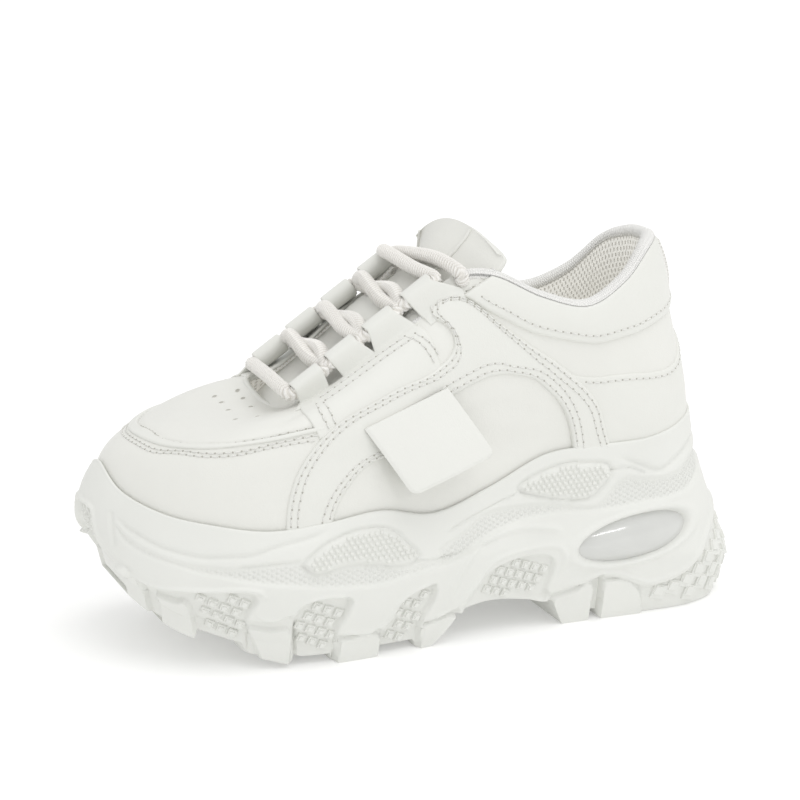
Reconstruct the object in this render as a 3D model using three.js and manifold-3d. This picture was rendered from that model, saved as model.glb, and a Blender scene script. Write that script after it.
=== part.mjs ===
// Platform sneaker, left shoe, lace-up, with a tall moulded sole and a clear insert in the heel's sides.
// Millimetres. The toe points to -Y, the outer (lateral) side of the foot is +X, and the floor is z = 0.
import * as THREE from 'three';
import { mergeVertices } from 'three/addons/utils/BufferGeometryUtils.js';
import Module from 'manifold-3d';

const wasm = await Module();
wasm.setup();

// Driving sizes
const LENGTH = 272; // sole, toe to heel
const BALL_WIDTH = 104; // sole at the ball of the foot
const COLLAR_HEIGHT = 149; // floor to the top of the collar at the heel
const INSTEP_HEIGHT = 142; // floor to the top of the eyestays
const WALL = 2.2; // upper: leather and lining together
const COLLAR_PAD = 3.6; // foam added inside the collar
const LIP = 1.6; // rim of the sole around the upper
const INSOLE = 4.5;
const LACE = 4.7; // round rope lace
const GAP = 0.3; // between pieces that meet

const COLOURS = {
  leather: { color: 0xf0efe9, roughness: 0.45, metalness: 0 },
  sole: { color: 0xebebe7, roughness: 0.6, metalness: 0 },
  clear: { color: 0xdadcda, roughness: 0.12, metalness: 0 },
  lace: { color: 0xf7f5f1, roughness: 0.9, metalness: 0 },
  lining: { color: 0xe6e4da, roughness: 0.95, metalness: 0 },
};

// ---------------------------------------------------------------- stations, ribs and rings

const STATIONS = 15; // toe tip to heel back
const HEEL_RIB = STATIONS - 1; // number of the rib at the back of the heel
const RIBS = 2 * HEEL_RIB; // once round the shoe: lateral stations, then medial ones back to the toe
const STEPS = 3; // points per rib
const AROUND = RIBS * STEPS;
const SLOPE_STEP = 0.05; // ribs to each side of a point where a direction is taken
const HALVINGS = 24; // of the interval, where a point is searched for

// A row is a station, from the toe tip to the back of the heel. A pair in a cell is [lateral, medial].
function ribColumns(names, rows) {
  const columns = {};
  names.forEach((name, c) => {
    const lateral = rows.map((row) => (Array.isArray(row[c]) ? row[c][0] : row[c]));
    const medial = rows.map((row) => (Array.isArray(row[c]) ? row[c][1] : row[c]));
    columns[name] = [...lateral, ...medial.slice(1, -1).reverse()];
  });
  return columns;
}

function lengthwise(share) {
  return (share / 100 - 0.5) * LENGTH;
}

function sideways(share) {
  return (share / 200) * BALL_WIDTH;
}

// Value of a column at rib number u, on a smooth curve through the ribs that closes on itself.
function at(column, u) {
  const n = column.length;
  const i = Math.floor(u);
  const t = u - i;
  const [a, b, c, d] = [-1, 0, 1, 2].map((k) => column[(((i + k) % n) + n) % n]);
  return b + 0.5 * t * (c - a + t * (2 * a - 5 * b + 4 * c - d + t * (3 * b - a - 3 * c + d)));
}

const SOLE = ribColumns(
  // Widest plan outline: along is a share of LENGTH from the toe, side a share of half BALL_WIDTH,
  // both in per cent. Millimetres: wide is the height of that outline, rim the top edge, tuck the upper's
  // foot inside the outline, bed the floor of the cup, low the bottom of the midsole, tread the underside of
  // the lugs (under 0 where they stand flat), and skirt how far the bottom is drawn in.
  ['along', 'side', 'wide', 'rim', 'tuck', 'bed', 'low', 'tread', 'skirt'],
  [
    [0, -15.4, 54, 73, 7, 58, 40, 33, 6],
    [1.8, [26.9, -57.7], 46, [66, 67], 7, 56, 34, 26, 6],
    [6.6, [61.5, -86.5], 37, [60.5, 62], 6.5, 52, 25, 17, 6],
    [13.2, [82.7, -98.1], 34, [57, 59], 6, 48, 18, 10, 6],
    [20.6, [96.2, -100], 34, [54.5, 57], 6, 45, 12, 4, 6],
    [28.7, [101, -96.2], 33, [56, 58], 6, 43.5, 9, -1.5, 6],
    [37.5, [98.1, -88.5], 33, [58, 60], 6, 44, 8, -2, 6],
    [46.3, [90.4, -80.8], 33, [53.5, 57], 6, 46, 9, -2, 5],
    [55.1, [82.7, -75], 36, [60, 62], 6, 50, 14, -1, 4],
    [64, [77.9, -73.1], 36, 70, 6, 55, 11, -1, 3],
    [72.8, [76.9, -75], 30, 71.5, 6, 59, 8, -1, 3],
    [81.2, [76.9, -76.9], 27, 72, 7.5, 62, 8, -1, 3],
    [89, [71.2, -74], 23, 76, 12.5, 64, 9, -1, 2],
    [95.6, [50, -55.8], 19, 80, 19, 65, 9, -1, 2],
    [99.8, 0, 18, 81.5, 22.5, 65, 9, -1, 2],
  ],
);
SOLE.y = SOLE.along.map(lengthwise);
SOLE.x = SOLE.side.map(sideways);

const THROAT_STATIONS = 9; // their opening height is a share of INSTEP_HEIGHT, the others' of COLLAR_HEIGHT

const UPPER = ribColumns(
  // Opening's edge in per cent: along and side as for the sole, up as a share of the instep or collar
  // height. Millimetres: rise and belly are how far up and out the wall starts, run and drop how far out and
  // down it is before it reaches the opening.
  ['along', 'side', 'up', 'rise', 'belly', 'run', 'drop'],
  [
    [26.8, 3.8, 65.1, 31, 3.5, 37, 4.5],
    [[27.9, 26.1], [19.2, -13.5], [65.5, 66.2], [33, 30], 3, 35, [4, 6]],
    [[29.4, 25.7], [35.6, -33.7], [68, 69.4], [36, 32], 2.5, 30, [4, 8]],
    [[32.4, 30.1], [38.5, -38.5], [71.5, 71.1], [40, 38], 2.5, 26, [5, 7]],
    [[36.4, 34.9], [40.4, -40.4], [77.5, 76.8], 44, 3, 22, 6],
    [[40.4, 39.3], [42.3, -42.3], [83.5, 83.1], 46, 3, 19, 7],
    [[45.6, 44.9], [44.2, -44.2], [91.2, 90.8], 48, 2, 17, 10],
    [[51.1, 50.4], [46.2, -46.2], 99.3, 48, 1, 13, 14],
    [[57, 56.2], [51.9, -51.9], 100, 40, 1, 8, 26],
    [[64, 63.6], [59.6, -59.6], [89.3, 87.9], 30, 2, 5, 26],
    [[71, 70.6], [61.5, -61.5], [86.2, 83.6], 24, 2.5, 4, 24],
    [77.6, [51.9, -55.8], [91.3, 87.9], 24, 3, 5, 25],
    [82.4, [36.5, -40.4], [98, 96.6], 26, 3, 7, 28],
    [85.3, [17.3, -19.2], 100, 28, 1, 8, 30],
    [86.4, 0, 100, 28, 1, 6, 30],
  ],
);
UPPER.y = UPPER.along.map(lengthwise);
UPPER.x = UPPER.side.map(sideways);
UPPER.z = UPPER.up.map((share, i) => {
  const station = Math.min(i, RIBS - i);
  return (share / 100) * (station < THROAT_STATIONS ? INSTEP_HEIGHT : COLLAR_HEIGHT);
});

// Unit vector that points outwards from the sole's outline at rib u.
function outward(u) {
  const dx = at(SOLE.x, u + SLOPE_STEP) - at(SOLE.x, u - SLOPE_STEP);
  const dy = at(SOLE.y, u + SLOPE_STEP) - at(SOLE.y, u - SLOPE_STEP);
  const length = Math.hypot(dx, dy);
  return [dy / length, -dx / length];
}

// Point at height z, `out` outside the sole's widest outline.
function outline(u, out, z) {
  const [nx, ny] = outward(u);
  return [at(SOLE.x, u) + out * nx, at(SOLE.y, u) + out * ny, z];
}

// One closed ring of points round the shoe.
function ring(point) {
  return Array.from({ length: AROUND }, (_, k) => point(k / STEPS));
}

function signedVolume(points, faces) {
  let six = 0;
  for (const [a, b, c] of faces) {
    const [p, q, r] = [points[a], points[b], points[c]].map((v) => new THREE.Vector3(...v));
    six += p.dot(q.cross(r));
  }
  return six / 6;
}

function geometryOf(points, faces) {
  const turned = signedVolume(points, faces) < 0 ? faces.map(([a, b, c]) => [a, c, b]) : faces;
  const geometry = new THREE.BufferGeometry();
  geometry.setAttribute('position', new THREE.Float32BufferAttribute(points.flat(), 3));
  geometry.setIndex(turned.flat());
  return geometry;
}

// Solid through a stack of rings with the same number of points. It closes on itself, or its first and last
// rings are capped by straight strips from each point to its mirror point on the other side of the ring.
function ringStack(rings, closed = false) {
  const n = rings[0].length;
  const faces = [];
  const last = closed ? rings.length : rings.length - 1;
  for (let r = 0; r < last; r += 1) {
    const next = (r + 1) % rings.length;
    for (let k = 0; k < n; k += 1) {
      const [a, b] = [r * n + k, r * n + ((k + 1) % n)];
      const [c, d] = [next * n + ((k + 1) % n), next * n + k];
      faces.push([a, b, c], [a, c, d]);
    }
  }
  if (!closed) {
    cap(faces, 0, n, true);
    cap(faces, (rings.length - 1) * n, n, false);
  }
  return geometryOf(rings.flat(), faces);
}

function cap(faces, start, n, first) {
  for (let k = 0; k < n / 2; k += 1) {
    const corners = [k, k + 1, n - k - 1, (n - k) % n].map((i) => start + i);
    const [a, b, c, d] = first ? corners.reverse() : corners;
    if (a !== b && b !== c && c !== a) faces.push([a, b, c]);
    if (a !== c && c !== d && d !== a) faces.push([a, c, d]);
  }
}

// ---------------------------------------------------------------- booleans and meshes

function solidOf(geometry) {
  const bare = geometry.clone();
  bare.deleteAttribute('normal');
  bare.deleteAttribute('uv');
  const merged = mergeVertices(bare, 1e-4);
  return new wasm.Manifold(
    new wasm.Mesh({
      numProp: 3,
      vertProperties: merged.getAttribute('position').array,
      triVerts: new Uint32Array(merged.getIndex().array),
    }),
  );
}

function geometryFrom(solid) {
  const mesh = solid.getMesh();
  const geometry = new THREE.BufferGeometry();
  geometry.setAttribute('position', new THREE.BufferAttribute(new Float32Array(mesh.vertProperties), 3));
  geometry.setIndex(Array.from(mesh.triVerts));
  return geometry;
}

function cut(geometry, tools) {
  return geometryFrom(tools.reduce((solid, tool) => solid.subtract(solidOf(tool)), solidOf(geometry)));
}

function join(geometries) {
  return geometryFrom(geometries.map(solidOf).reduce((all, one) => all.add(one)));
}

function common(one, other) {
  return geometryFrom(solidOf(one).intersect(solidOf(other)));
}

function box(x0, x1, y0, y1, z0, z1) {
  const geometry = new THREE.BoxGeometry(x1 - x0, y1 - y0, z1 - z0);
  return geometry.translate((x0 + x1) / 2, (y0 + y1) / 2, (z0 + z1) / 2);
}

const shoe = new THREE.Group();

function piece(name, geometry, finish) {
  const mesh = new THREE.Mesh(geometry, new THREE.MeshStandardMaterial(COLOURS[finish]));
  mesh.name = name;
  shoe.add(mesh);
}

// ---------------------------------------------------------------- upper

const mix = (a, b, t) => a + (b - a) * t;
const smooth = (a, b, x) => THREE.MathUtils.smoothstep(x, a, b);

// Outer face of the upper: each rib is one cubic curve from the foot (v = 0) to the opening's edge (v = 1).
function upperOuter(u, v) {
  const [nx, ny] = outward(u);
  const foot = outline(u, -at(SOLE.tuck, u), at(SOLE.bed, u) + GAP);
  const edge = [at(UPPER.x, u), at(UPPER.y, u), at(UPPER.z, u)];
  const belly = at(UPPER.belly, u);
  const run = at(UPPER.run, u);
  const low = [foot[0] + belly * nx, foot[1] + belly * ny, foot[2] + at(UPPER.rise, u)];
  const high = [edge[0] + run * nx, edge[1] + run * ny, edge[2] - at(UPPER.drop, u)];
  const w = 1 - v;
  const weights = [w ** 3, 3 * w * w * v, 3 * w * v * v, v ** 3];
  return [0, 1, 2].map((k) => [foot, low, high, edge].reduce((sum, p, i) => sum + weights[i] * p[k], 0));
}

// Thickness of the upper: one wall, with foam inside the collar from the eyestays round the heel.
function upperWall(u, v) {
  const fromToe = Math.min(u, RIBS - u);
  const padded = smooth(7.2, 9.2, fromToe) * smooth(0.45, 0.8, v) * (1 - 0.35 * smooth(0.85, 1, v));
  return WALL + COLLAR_PAD * padded;
}

function upperInner(u, v) {
  const near = [
    [u - SLOPE_STEP, v],
    [u + SLOPE_STEP, v],
    [u, v - SLOPE_STEP / 5],
    [u, v + SLOPE_STEP / 5],
  ];
  const [a, b, c, d] = near.map(([rib, share]) => new THREE.Vector3(...upperOuter(rib, share)));
  const inwards = d.sub(c).cross(b.sub(a)).normalize();
  return new THREE.Vector3(...upperOuter(u, v)).addScaledVector(inwards, upperWall(u, v)).toArray();
}

const OUTER_STEPS = 11;
const INNER_STEPS = 8;

function buildUpper() {
  const rings = (steps, point) => {
    const shares = Array.from({ length: steps + 1 }, (_, k) => k / steps);
    return shares.map((share) => ring((u) => point(u, share)));
  };
  const outside = rings(OUTER_STEPS, upperOuter);
  const inside = rings(INNER_STEPS, (u, t) => upperInner(u, 1 - t));
  const foot = inside.at(-1);
  foot.forEach((point, k) => {
    point[2] = outside[0][k][2];
  });
  return ringStack([...outside, ...inside], true);
}

piece('upper', buildUpper(), 'leather');

// ---------------------------------------------------------------- midsole

const RIM_REACH = 0.6; // the sole's rim meets the upper below this share v of each rib

// Where the upper's outer face passes height z.
function upperAtHeight(u, z) {
  let [low, high] = [0, RIM_REACH];
  for (let k = 0; k < HALVINGS; k += 1) {
    const v = (low + high) / 2;
    if (upperOuter(u, v)[2] < z) low = v;
    else high = v;
  }
  return upperOuter(u, low);
}

// Wall of the cup that holds the upper: `out` outside it, at a share `up` of the way from the bed to the rim.
function cupWall(u, out, up) {
  const [nx, ny] = outward(u);
  const z = mix(at(SOLE.bed, u), at(SOLE.rim, u), up);
  const [x, y] = upperAtHeight(u, z);
  return [x + out * nx, y + out * ny, z];
}

// Side wall between the rim (t = 0) and the widest outline (t = 1): round at the toe, straight at the heel.
function sidewall(u, t) {
  const [x0, y0, z0] = cupWall(u, GAP + LIP, 1);
  const [x1, y1, z1] = outline(u, 0, at(SOLE.wide, u));
  const fromToe = Math.min(u, RIBS - u);
  const plan = mix(1 - (1 - t) ** 2.2, t ** 1.25, smooth(1, 10, fromToe));
  return [mix(x0, x1, plan), mix(y0, y1, plan), mix(z0, z1, t)];
}

// Side wall below the widest outline, drawn in by `skirt` at the bottom (t = 1).
function underside(u, t) {
  const out = -at(SOLE.skirt, u) * t ** 1.6;
  return outline(u, out, mix(at(SOLE.wide, u), at(SOLE.low, u), t));
}

const UNDERSIDE_RINGS = [1, 2 / 3, 1 / 3]; // shares t of each surface, from the bottom up and over the rim
const SIDEWALL_RINGS = [1, 0.75, 0.5, 0.25, 0];
const CUP_RINGS = [1, 0.6, 0.3, 0];

function buildMidsole() {
  return ringStack([
    ...UNDERSIDE_RINGS.map((t) => ring((u) => underside(u, t))),
    ...SIDEWALL_RINGS.map((t) => ring((u) => sidewall(u, t))),
    ...CUP_RINGS.map((up) => ring((u) => cupWall(u, GAP, up))),
  ]);
}

// Clear insert in each side of the heel: an ellipse that slopes up to the back, in a pocket of the midsole.
// Half its length and height, its slope in degrees, how far it lies back in, and where its pocket's floor is.
const INSERT = { y: 76, z: 33, half: 24, height: 8.5, slope: 9, recess: 1.5, floor: 26 };
const BEYOND = 60; // x outside the whole sole

function insertPrism(grow, x0, x1) {
  const ellipse = new THREE.Shape();
  ellipse.absellipse(0, 0, INSERT.half + grow, INSERT.height + grow, 0, 2 * Math.PI);
  const settings = { depth: x1 - x0, bevelEnabled: false, curveSegments: 14 };
  const prism = new THREE.ExtrudeGeometry(ellipse, settings);
  prism.rotateX(Math.PI / 2).rotateZ(Math.PI / 2); // the ellipse's plane becomes YZ, its depth runs along X
  prism.rotateX(THREE.MathUtils.degToRad(INSERT.slope));
  return prism.translate(x0, INSERT.y, INSERT.z);
}

const midsoleBlank = buildMidsole();
const pockets = [insertPrism(0, INSERT.floor, BEYOND), insertPrism(0, -BEYOND, -INSERT.floor)];
piece('midsole', cut(midsoleBlank, pockets), 'sole');

// The insert is the side wall's own shape, moved inwards by the recess.
function buildInsert(side) {
  const inner = INSERT.floor + GAP;
  const prism = side > 0 ? insertPrism(-GAP, inner, BEYOND) : insertPrism(-GAP, -BEYOND, -inner);
  const sunk = midsoleBlank.clone().translate(-side * INSERT.recess, 0, 0);
  return common(prism, sunk);
}

piece('air_window_lateral', buildInsert(1), 'clear');
piece('air_window_medial', buildInsert(-1), 'clear');

// ---------------------------------------------------------------- outsole

const FRONT_END = 2; // y where the front tread stops at the arch, at the height ARCH_Z
const HEEL_START = 38; // y where the heel tread starts, at the same height
const ARCH_Z = 11;
const FRONT_LEAN = 40; // degrees the front tread's end leans forward, and the heel tread's breast leans back
const HEEL_LEAN = 28;
const TREAD_TAPER = 2; // the tread is this much narrower where it meets the floor
const LUG_DEPTH = 3.2; // the lugs stand this far below the plate
const LUG_PROUD = 2.5; // and this far out of its side
const LUG_INNER = 14; // a gap between lugs stops this far from the middle of the sole
const LUG_TURN = 12; // degrees each gap is turned, opening to the back

// Slab under the midsole, rounded up at the toe and flat under the ball and the heel. `narrow` draws its
// sides in, `raise` lifts its underside and `over` its top.
function treadBlank(narrow, raise, over) {
  const side = (u) => -at(SOLE.skirt, u) - narrow;
  return ringStack([
    ring((u) => outline(u, side(u), at(SOLE.low, u) - GAP + over)),
    ring((u) => outline(u, side(u) - TREAD_TAPER, Math.max(0, at(SOLE.tread, u)) + raise)),
  ]);
}

// Box across the whole sole from y onwards, its near face turned by `lean` degrees about the point at ARCH_Z.
function beyond(y, lean) {
  const block = box(-2 * BEYOND, 2 * BEYOND, 0, LENGTH, -LENGTH, LENGTH);
  return block.rotateX(THREE.MathUtils.degToRad(lean)).translate(0, y, ARCH_Z);
}

// Gap between two lugs, in from the side of the sole. The plate is left above it and inside it.
function lugGap(side, y, wide) {
  const gap = box(LUG_INNER, LUG_INNER + BEYOND, -wide / 2, wide / 2, -BEYOND, BEYOND);
  gap.rotateZ(THREE.MathUtils.degToRad(-LUG_TURN));
  const turned = side > 0 ? gap : gap.rotateY(Math.PI);
  return cut(turned.translate(0, y, 0), [treadBlank(LUG_PROUD, LUG_DEPTH, 1)]);
}

// A row is a gap between lugs, the same on both sides: the y of its middle and its width.
const FRONT_GAPS = [
  [-99, 15],
  [-61, 17],
  [-22, 15],
];
const HEEL_GAPS = [
  [60, 8],
  [84, 7],
  [104, 7],
];

function buildOutsole(away, gaps) {
  const tools = gaps.flatMap(([y, wide]) => [lugGap(1, y, wide), lugGap(-1, y, wide)]);
  return cut(treadBlank(0, 0, 0), [...away, ...tools]);
}

const heelAndArch = beyond(FRONT_END, -FRONT_LEAN);
const ballAndArch = beyond(0, HEEL_LEAN).rotateX(Math.PI).translate(0, HEEL_START, 2 * ARCH_Z);
piece('outsole_front', buildOutsole([heelAndArch], FRONT_GAPS), 'sole');
piece('outsole_heel', buildOutsole([ballAndArch], HEEL_GAPS), 'sole');

// ---------------------------------------------------------------- insole

const INSOLE_GAP = 0.5; // above the bed
const INSOLE_CLEAR = 3; // to the upper's lining, all round

function buildInsole() {
  const inset = (u) => -at(SOLE.tuck, u) - WALL - INSOLE_CLEAR;
  const floor = (u) => at(SOLE.bed, u) + INSOLE_GAP;
  return ringStack([
    ring((u) => outline(u, inset(u), floor(u))),
    ring((u) => outline(u, inset(u), floor(u) + INSOLE)),
  ]);
}

piece('insole', buildInsole(), 'lining');

// ---------------------------------------------------------------- tongue

const TONGUE = {
  // A row is a section across the tongue, from under the vamp to the free top.
  names: ['y', 'z', 'half', 'crown', 'thick'],
  rows: [
    [-68, 84.5, 14, 2, 2],
    [-60, 88.5, 18, 3, 2.5],
    [-50, 95, 22, 4, 3],
    [-36, 106.5, 25, 6, 4],
    [-20, 120, 26, 7, 5],
    [-6, 132, 27, 8, 6],
    [4, 142.5, 21, 5, 7],
    [9, 151.5, 26, 7, 7],
    [12, 156.5, 27, 7, 6],
    [13, 159, 21, 4, 3],
  ],
};
const TONGUE_ACROSS = 12;

function buildTongue() {
  const column = (name) => TONGUE.rows.map((row) => row[TONGUE.names.indexOf(name)]);
  const [ys, zs, halves, crowns, thicks] = TONGUE.names.map(column);
  const rings = ys.map((y, i) => {
    const [before, after] = [Math.max(i - 1, 0), Math.min(i + 1, ys.length - 1)];
    const [dy, dz] = [ys[after] - ys[before], zs[after] - zs[before]];
    const [ny, nz] = [-dz / Math.hypot(dy, dz), dy / Math.hypot(dy, dz)];
    const point = (w, depth) => {
      const sink = crowns[i] * w * w + depth * thicks[i] * (1 - 0.6 * w ** 4);
      return [w * halves[i], y - ny * sink, zs[i] - nz * sink];
    };
    const across = Array.from({ length: TONGUE_ACROSS + 1 }, (_, k) => (2 * k) / TONGUE_ACROSS - 1);
    return [...across.map((w) => point(w, 0)), ...across.reverse().map((w) => point(w, 1))];
  });
  return ringStack(rings);
}

piece('tongue', buildTongue(), 'leather');

// ---------------------------------------------------------------- lace loops

// A row is a pair of leather loops on the throat's edges: centre of the tunnel on each side.
const LOOPS = {
  names: ['y', 'z', 'half'],
  rows: [
    [-57, 104.5, 20.5],
    [-42, 114.5, 21],
    [-28, 124.5, 21.5],
    [-12, 135.5, 22],
  ],
};
const MEDIAL_RISE = 1.8; // the inner side's loops stand this much higher
const LOOP_LONG = 11; // along the eyestay
const LOOP_HIGH = 7.8;
const LOOP_WIDE = 9;
const LOOP_LEATHER = 1.3;
const LOOP_SLOPE = 34; // degrees, the rise of the eyestay towards the ankle

// Flattened ring that stands on edge, long in the direction of the eyestay.
function loopGeometry(y, z, x) {
  const outer = ovalShape(LOOP_WIDE / 2, LOOP_HIGH / 2);
  outer.holes.push(ovalShape(LOOP_WIDE / 2 - LOOP_LEATHER, LOOP_HIGH / 2 - LOOP_LEATHER));
  const loop = new THREE.ExtrudeGeometry(outer, { depth: LOOP_LONG, bevelEnabled: false, curveSegments: 8 });
  loop.translate(0, 0, -LOOP_LONG / 2);
  loop.rotateX(-Math.PI / 2 + THREE.MathUtils.degToRad(LOOP_SLOPE));
  return loop.translate(x, y, z);
}

function ovalShape(a, b) {
  const shape = new THREE.Shape();
  shape.absellipse(0, 0, a, b, 0, 2 * Math.PI);
  return shape;
}

const loopRows = LOOPS.rows.map(([y, z, half]) => ({ y, z, half }));
loopRows.forEach(({ y, z, half }, k) => {
  piece(`lace_loop_lateral_${k + 1}`, loopGeometry(y, z, half), 'leather');
  piece(`lace_loop_medial_${k + 1}`, loopGeometry(y, z + MEDIAL_RISE, -half), 'leather');
});

// ---------------------------------------------------------------- laces

const LACE_END = LACE / 2 + 0.4; // middle of the lace, from the end of a loop
const EYELET = { u: 7.2, v: 0.9 }; // place of the punched hole on the upper, the fifth on its side
const LACE_CLEAR = 0.9; // between lace and leather at the hole
const EDGE_LIFT = 1.5; // the lace rides this much higher over the eyestay's edge
const BAR_SHIFT = new THREE.Vector3(0, -1.2, 1.6); // from the first loops' mouths to the straight bar's ends

// Front and back mouth of the tunnel of loop k on one side.
function mouth(k, side, end) {
  const { y, z, half } = loopRows[k];
  const reach = (LOOP_LONG / 2 + LACE_END) * end;
  const slope = THREE.MathUtils.degToRad(LOOP_SLOPE);
  const rise = reach * Math.sin(slope) + (side < 0 ? MEDIAL_RISE : 0);
  return new THREE.Vector3(side * half, y + reach * Math.cos(slope), z + rise);
}

// Middle of the lace, just clear of the leather at share v of the eyelet's rib.
function onEyestay(side, v) {
  const u = side > 0 ? EYELET.u : RIBS - EYELET.u;
  const outer = new THREE.Vector3(...upperOuter(u, v));
  const inner = new THREE.Vector3(...upperInner(u, v));
  return outer.clone().add(outer.clone().sub(inner).setLength(LACE / 2 + LACE_CLEAR));
}

function rope(points) {
  const curve = new THREE.CatmullRomCurve3(points);
  const section = ovalShape(LACE / 2, LACE / 2);
  return new THREE.ExtrudeGeometry(section, { extrudePath: curve, steps: 8, curveSegments: 5 });
}

// One strand over the tongue, raised by `lift` in the middle, and on over further points.
function strand(from, to, lift, further = []) {
  const middle = from.clone().lerp(to, 0.5);
  const slope = THREE.MathUtils.degToRad(LOOP_SLOPE);
  middle.add(new THREE.Vector3(0, -Math.sin(slope), Math.cos(slope)).multiplyScalar(lift));
  return rope([from, middle, to, ...further]);
}

// Two strands that cross over the tongue. The last pair goes on over the eyestays' edges to the eyelets.
function buildCrossing(k) {
  const last = k === loopRows.length - 1;
  const strands = [1, -1].map((side) => {
    const lift = (last ? 5 : 1) + (side > 0 ? 2.5 : 0);
    if (!last) return strand(mouth(k, side, 1), mouth(k + 1, -side, -1), lift);
    const edge = onEyestay(-side, 1).add(new THREE.Vector3(0, 0, EDGE_LIFT));
    return strand(mouth(k, side, 1), edge, lift, [onEyestay(-side, EYELET.v)]);
  });
  return join(strands);
}

const barEnds = [1, -1].map((side) => mouth(0, side, -1).add(BAR_SHIFT));
piece('lace_bar', strand(...barEnds, 1), 'lace');
loopRows.forEach((_, k) => piece(`lace_crossing_${k + 1}`, buildCrossing(k), 'lace'));

// ---------------------------------------------------------------- tag on the outer side

// Flat leather tag that hangs from the seam under the eyestays and stands off a little at the bottom.
const TAG = { wide: 37, high: 31, lean: 7, round: 4, thick: 1.2 };
const TAG_TOP_FRONT = new THREE.Vector3(46.2, -41, 91); // upper front corner, inner face
const TAG_TOP_BACK = new THREE.Vector3(42.3, -5.5, 103);
const TAG_BOTTOM_FRONT = new THREE.Vector3(52.5, -24, 65);

function buildTag() {
  const across = TAG_TOP_BACK.clone().sub(TAG_TOP_FRONT).normalize();
  const out = across.clone().cross(TAG_BOTTOM_FRONT.clone().sub(TAG_TOP_FRONT)).normalize().negate();
  const up = out.clone().cross(across);
  const { wide, high, lean, round } = TAG;
  const shape = new THREE.Shape();
  shape.moveTo(0, 0);
  shape.lineTo(lean, -high + round);
  shape.quadraticCurveTo(lean, -high, lean + round, -high);
  shape.lineTo(wide + lean - round, -high);
  shape.quadraticCurveTo(wide + lean, -high, wide + lean, -high + round);
  shape.lineTo(wide, 0);
  const tag = new THREE.ExtrudeGeometry(shape, { depth: TAG.thick, bevelEnabled: false, curveSegments: 4 });
  return tag.applyMatrix4(new THREE.Matrix4().makeBasis(across, up, out).setPosition(TAG_TOP_FRONT));
}

piece('side_tag', buildTag(), 'leather');

// ---------------------------------------------------------------- heel straps

// Strap along the middle of the heel between two shares v of the back rib. It stands off in the middle.
function heelStrap(v0, v1, wide, thick, stand) {
  const steps = 10;
  const rows = Array.from({ length: steps + 1 }, (_, k) => {
    const share = k / steps;
    const u = STATIONS - 1;
    const [, y, z] = upperOuter(u, mix(v0, v1, share));
    const off = 2 * GAP + stand * Math.sin(Math.PI * share);
    return [y + off, z];
  });
  const points = [...rows, ...rows.map(([y, z]) => [y + thick, z]).reverse()];
  const shape = new THREE.Shape(points.map(([y, z]) => new THREE.Vector2(y, z)));
  const strap = new THREE.ExtrudeGeometry(shape, { depth: wide, bevelEnabled: false });
  strap.rotateX(Math.PI / 2).rotateZ(Math.PI / 2); // the drawn plane becomes YZ, its depth runs along X
  return strap.translate(-wide / 2, 0, 0);
}

piece('pull_loop', heelStrap(0.97, 0.7, 16, 1.8, 2), 'lace');
piece('heel_stay', heelStrap(0.68, 0.3, 14, 1.2, 1), 'leather');

export default shoe;
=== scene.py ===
"""Platform sneaker, left shoe: the looks of each piece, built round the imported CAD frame.

The toe points to -Y, the outer (lateral) side is +X and the floor is z = 0. Sizes are in millimetres until a mesh
is made, in metres. Places on the shoe are a rib number u (0 at the toe tip, 14 at the back of the heel, 28 - u on
the inner side) and either the share v of the upper from its foot to its opening, or a height z on the sole."""

import bpy
import numpy as np
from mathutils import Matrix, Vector


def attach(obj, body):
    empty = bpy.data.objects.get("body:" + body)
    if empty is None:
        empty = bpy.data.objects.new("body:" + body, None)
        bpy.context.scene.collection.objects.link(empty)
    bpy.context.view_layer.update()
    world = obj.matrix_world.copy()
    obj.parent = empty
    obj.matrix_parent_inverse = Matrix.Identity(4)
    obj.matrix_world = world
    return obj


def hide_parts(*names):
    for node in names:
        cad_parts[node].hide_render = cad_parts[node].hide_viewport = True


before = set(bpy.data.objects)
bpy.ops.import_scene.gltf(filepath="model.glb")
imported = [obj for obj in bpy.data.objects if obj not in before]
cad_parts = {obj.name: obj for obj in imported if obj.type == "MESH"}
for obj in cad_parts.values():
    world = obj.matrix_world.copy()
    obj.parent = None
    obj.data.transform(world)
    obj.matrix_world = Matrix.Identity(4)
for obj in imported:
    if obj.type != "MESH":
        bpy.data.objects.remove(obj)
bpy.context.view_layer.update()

# ------------------------------------------------------------------ leather of the vamp and quarters
# The base layer of smooth coated leather, pulled over the last and stuck down in the cup of the sole.
# Everything else on the upper is sewn on top of it or into its edges.
LENGTH, BALL_WIDTH, COLLAR_HEIGHT, INSTEP_HEIGHT = 272, 104, 149, 142
RIBS = 28


def rib_columns(names, rows):
    """Columns of a table of stations, toe to heel, as closed rows of 28 ribs. A pair is (lateral, medial)."""
    pairs = np.array([[c if isinstance(c, tuple) else (c, c) for c in row] for row in rows], float)
    return dict(zip(names, np.vstack([pairs[..., 0], pairs[-2:0:-1, :, 1]]).T))


def at(column, u):
    """Value of a closed column at rib u: a cubic through the ribs whose slope is half the step between neighbours."""
    i = np.floor(u).astype(int)
    t = u - i
    a, b, c, d = (column[(i + k) % len(column)] for k in (-1, 0, 1, 2))
    return b + 0.5 * t * (c - a + t * (2 * a - 5 * b + 4 * c - d + t * (3 * b - a - 3 * c + d)))


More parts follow.
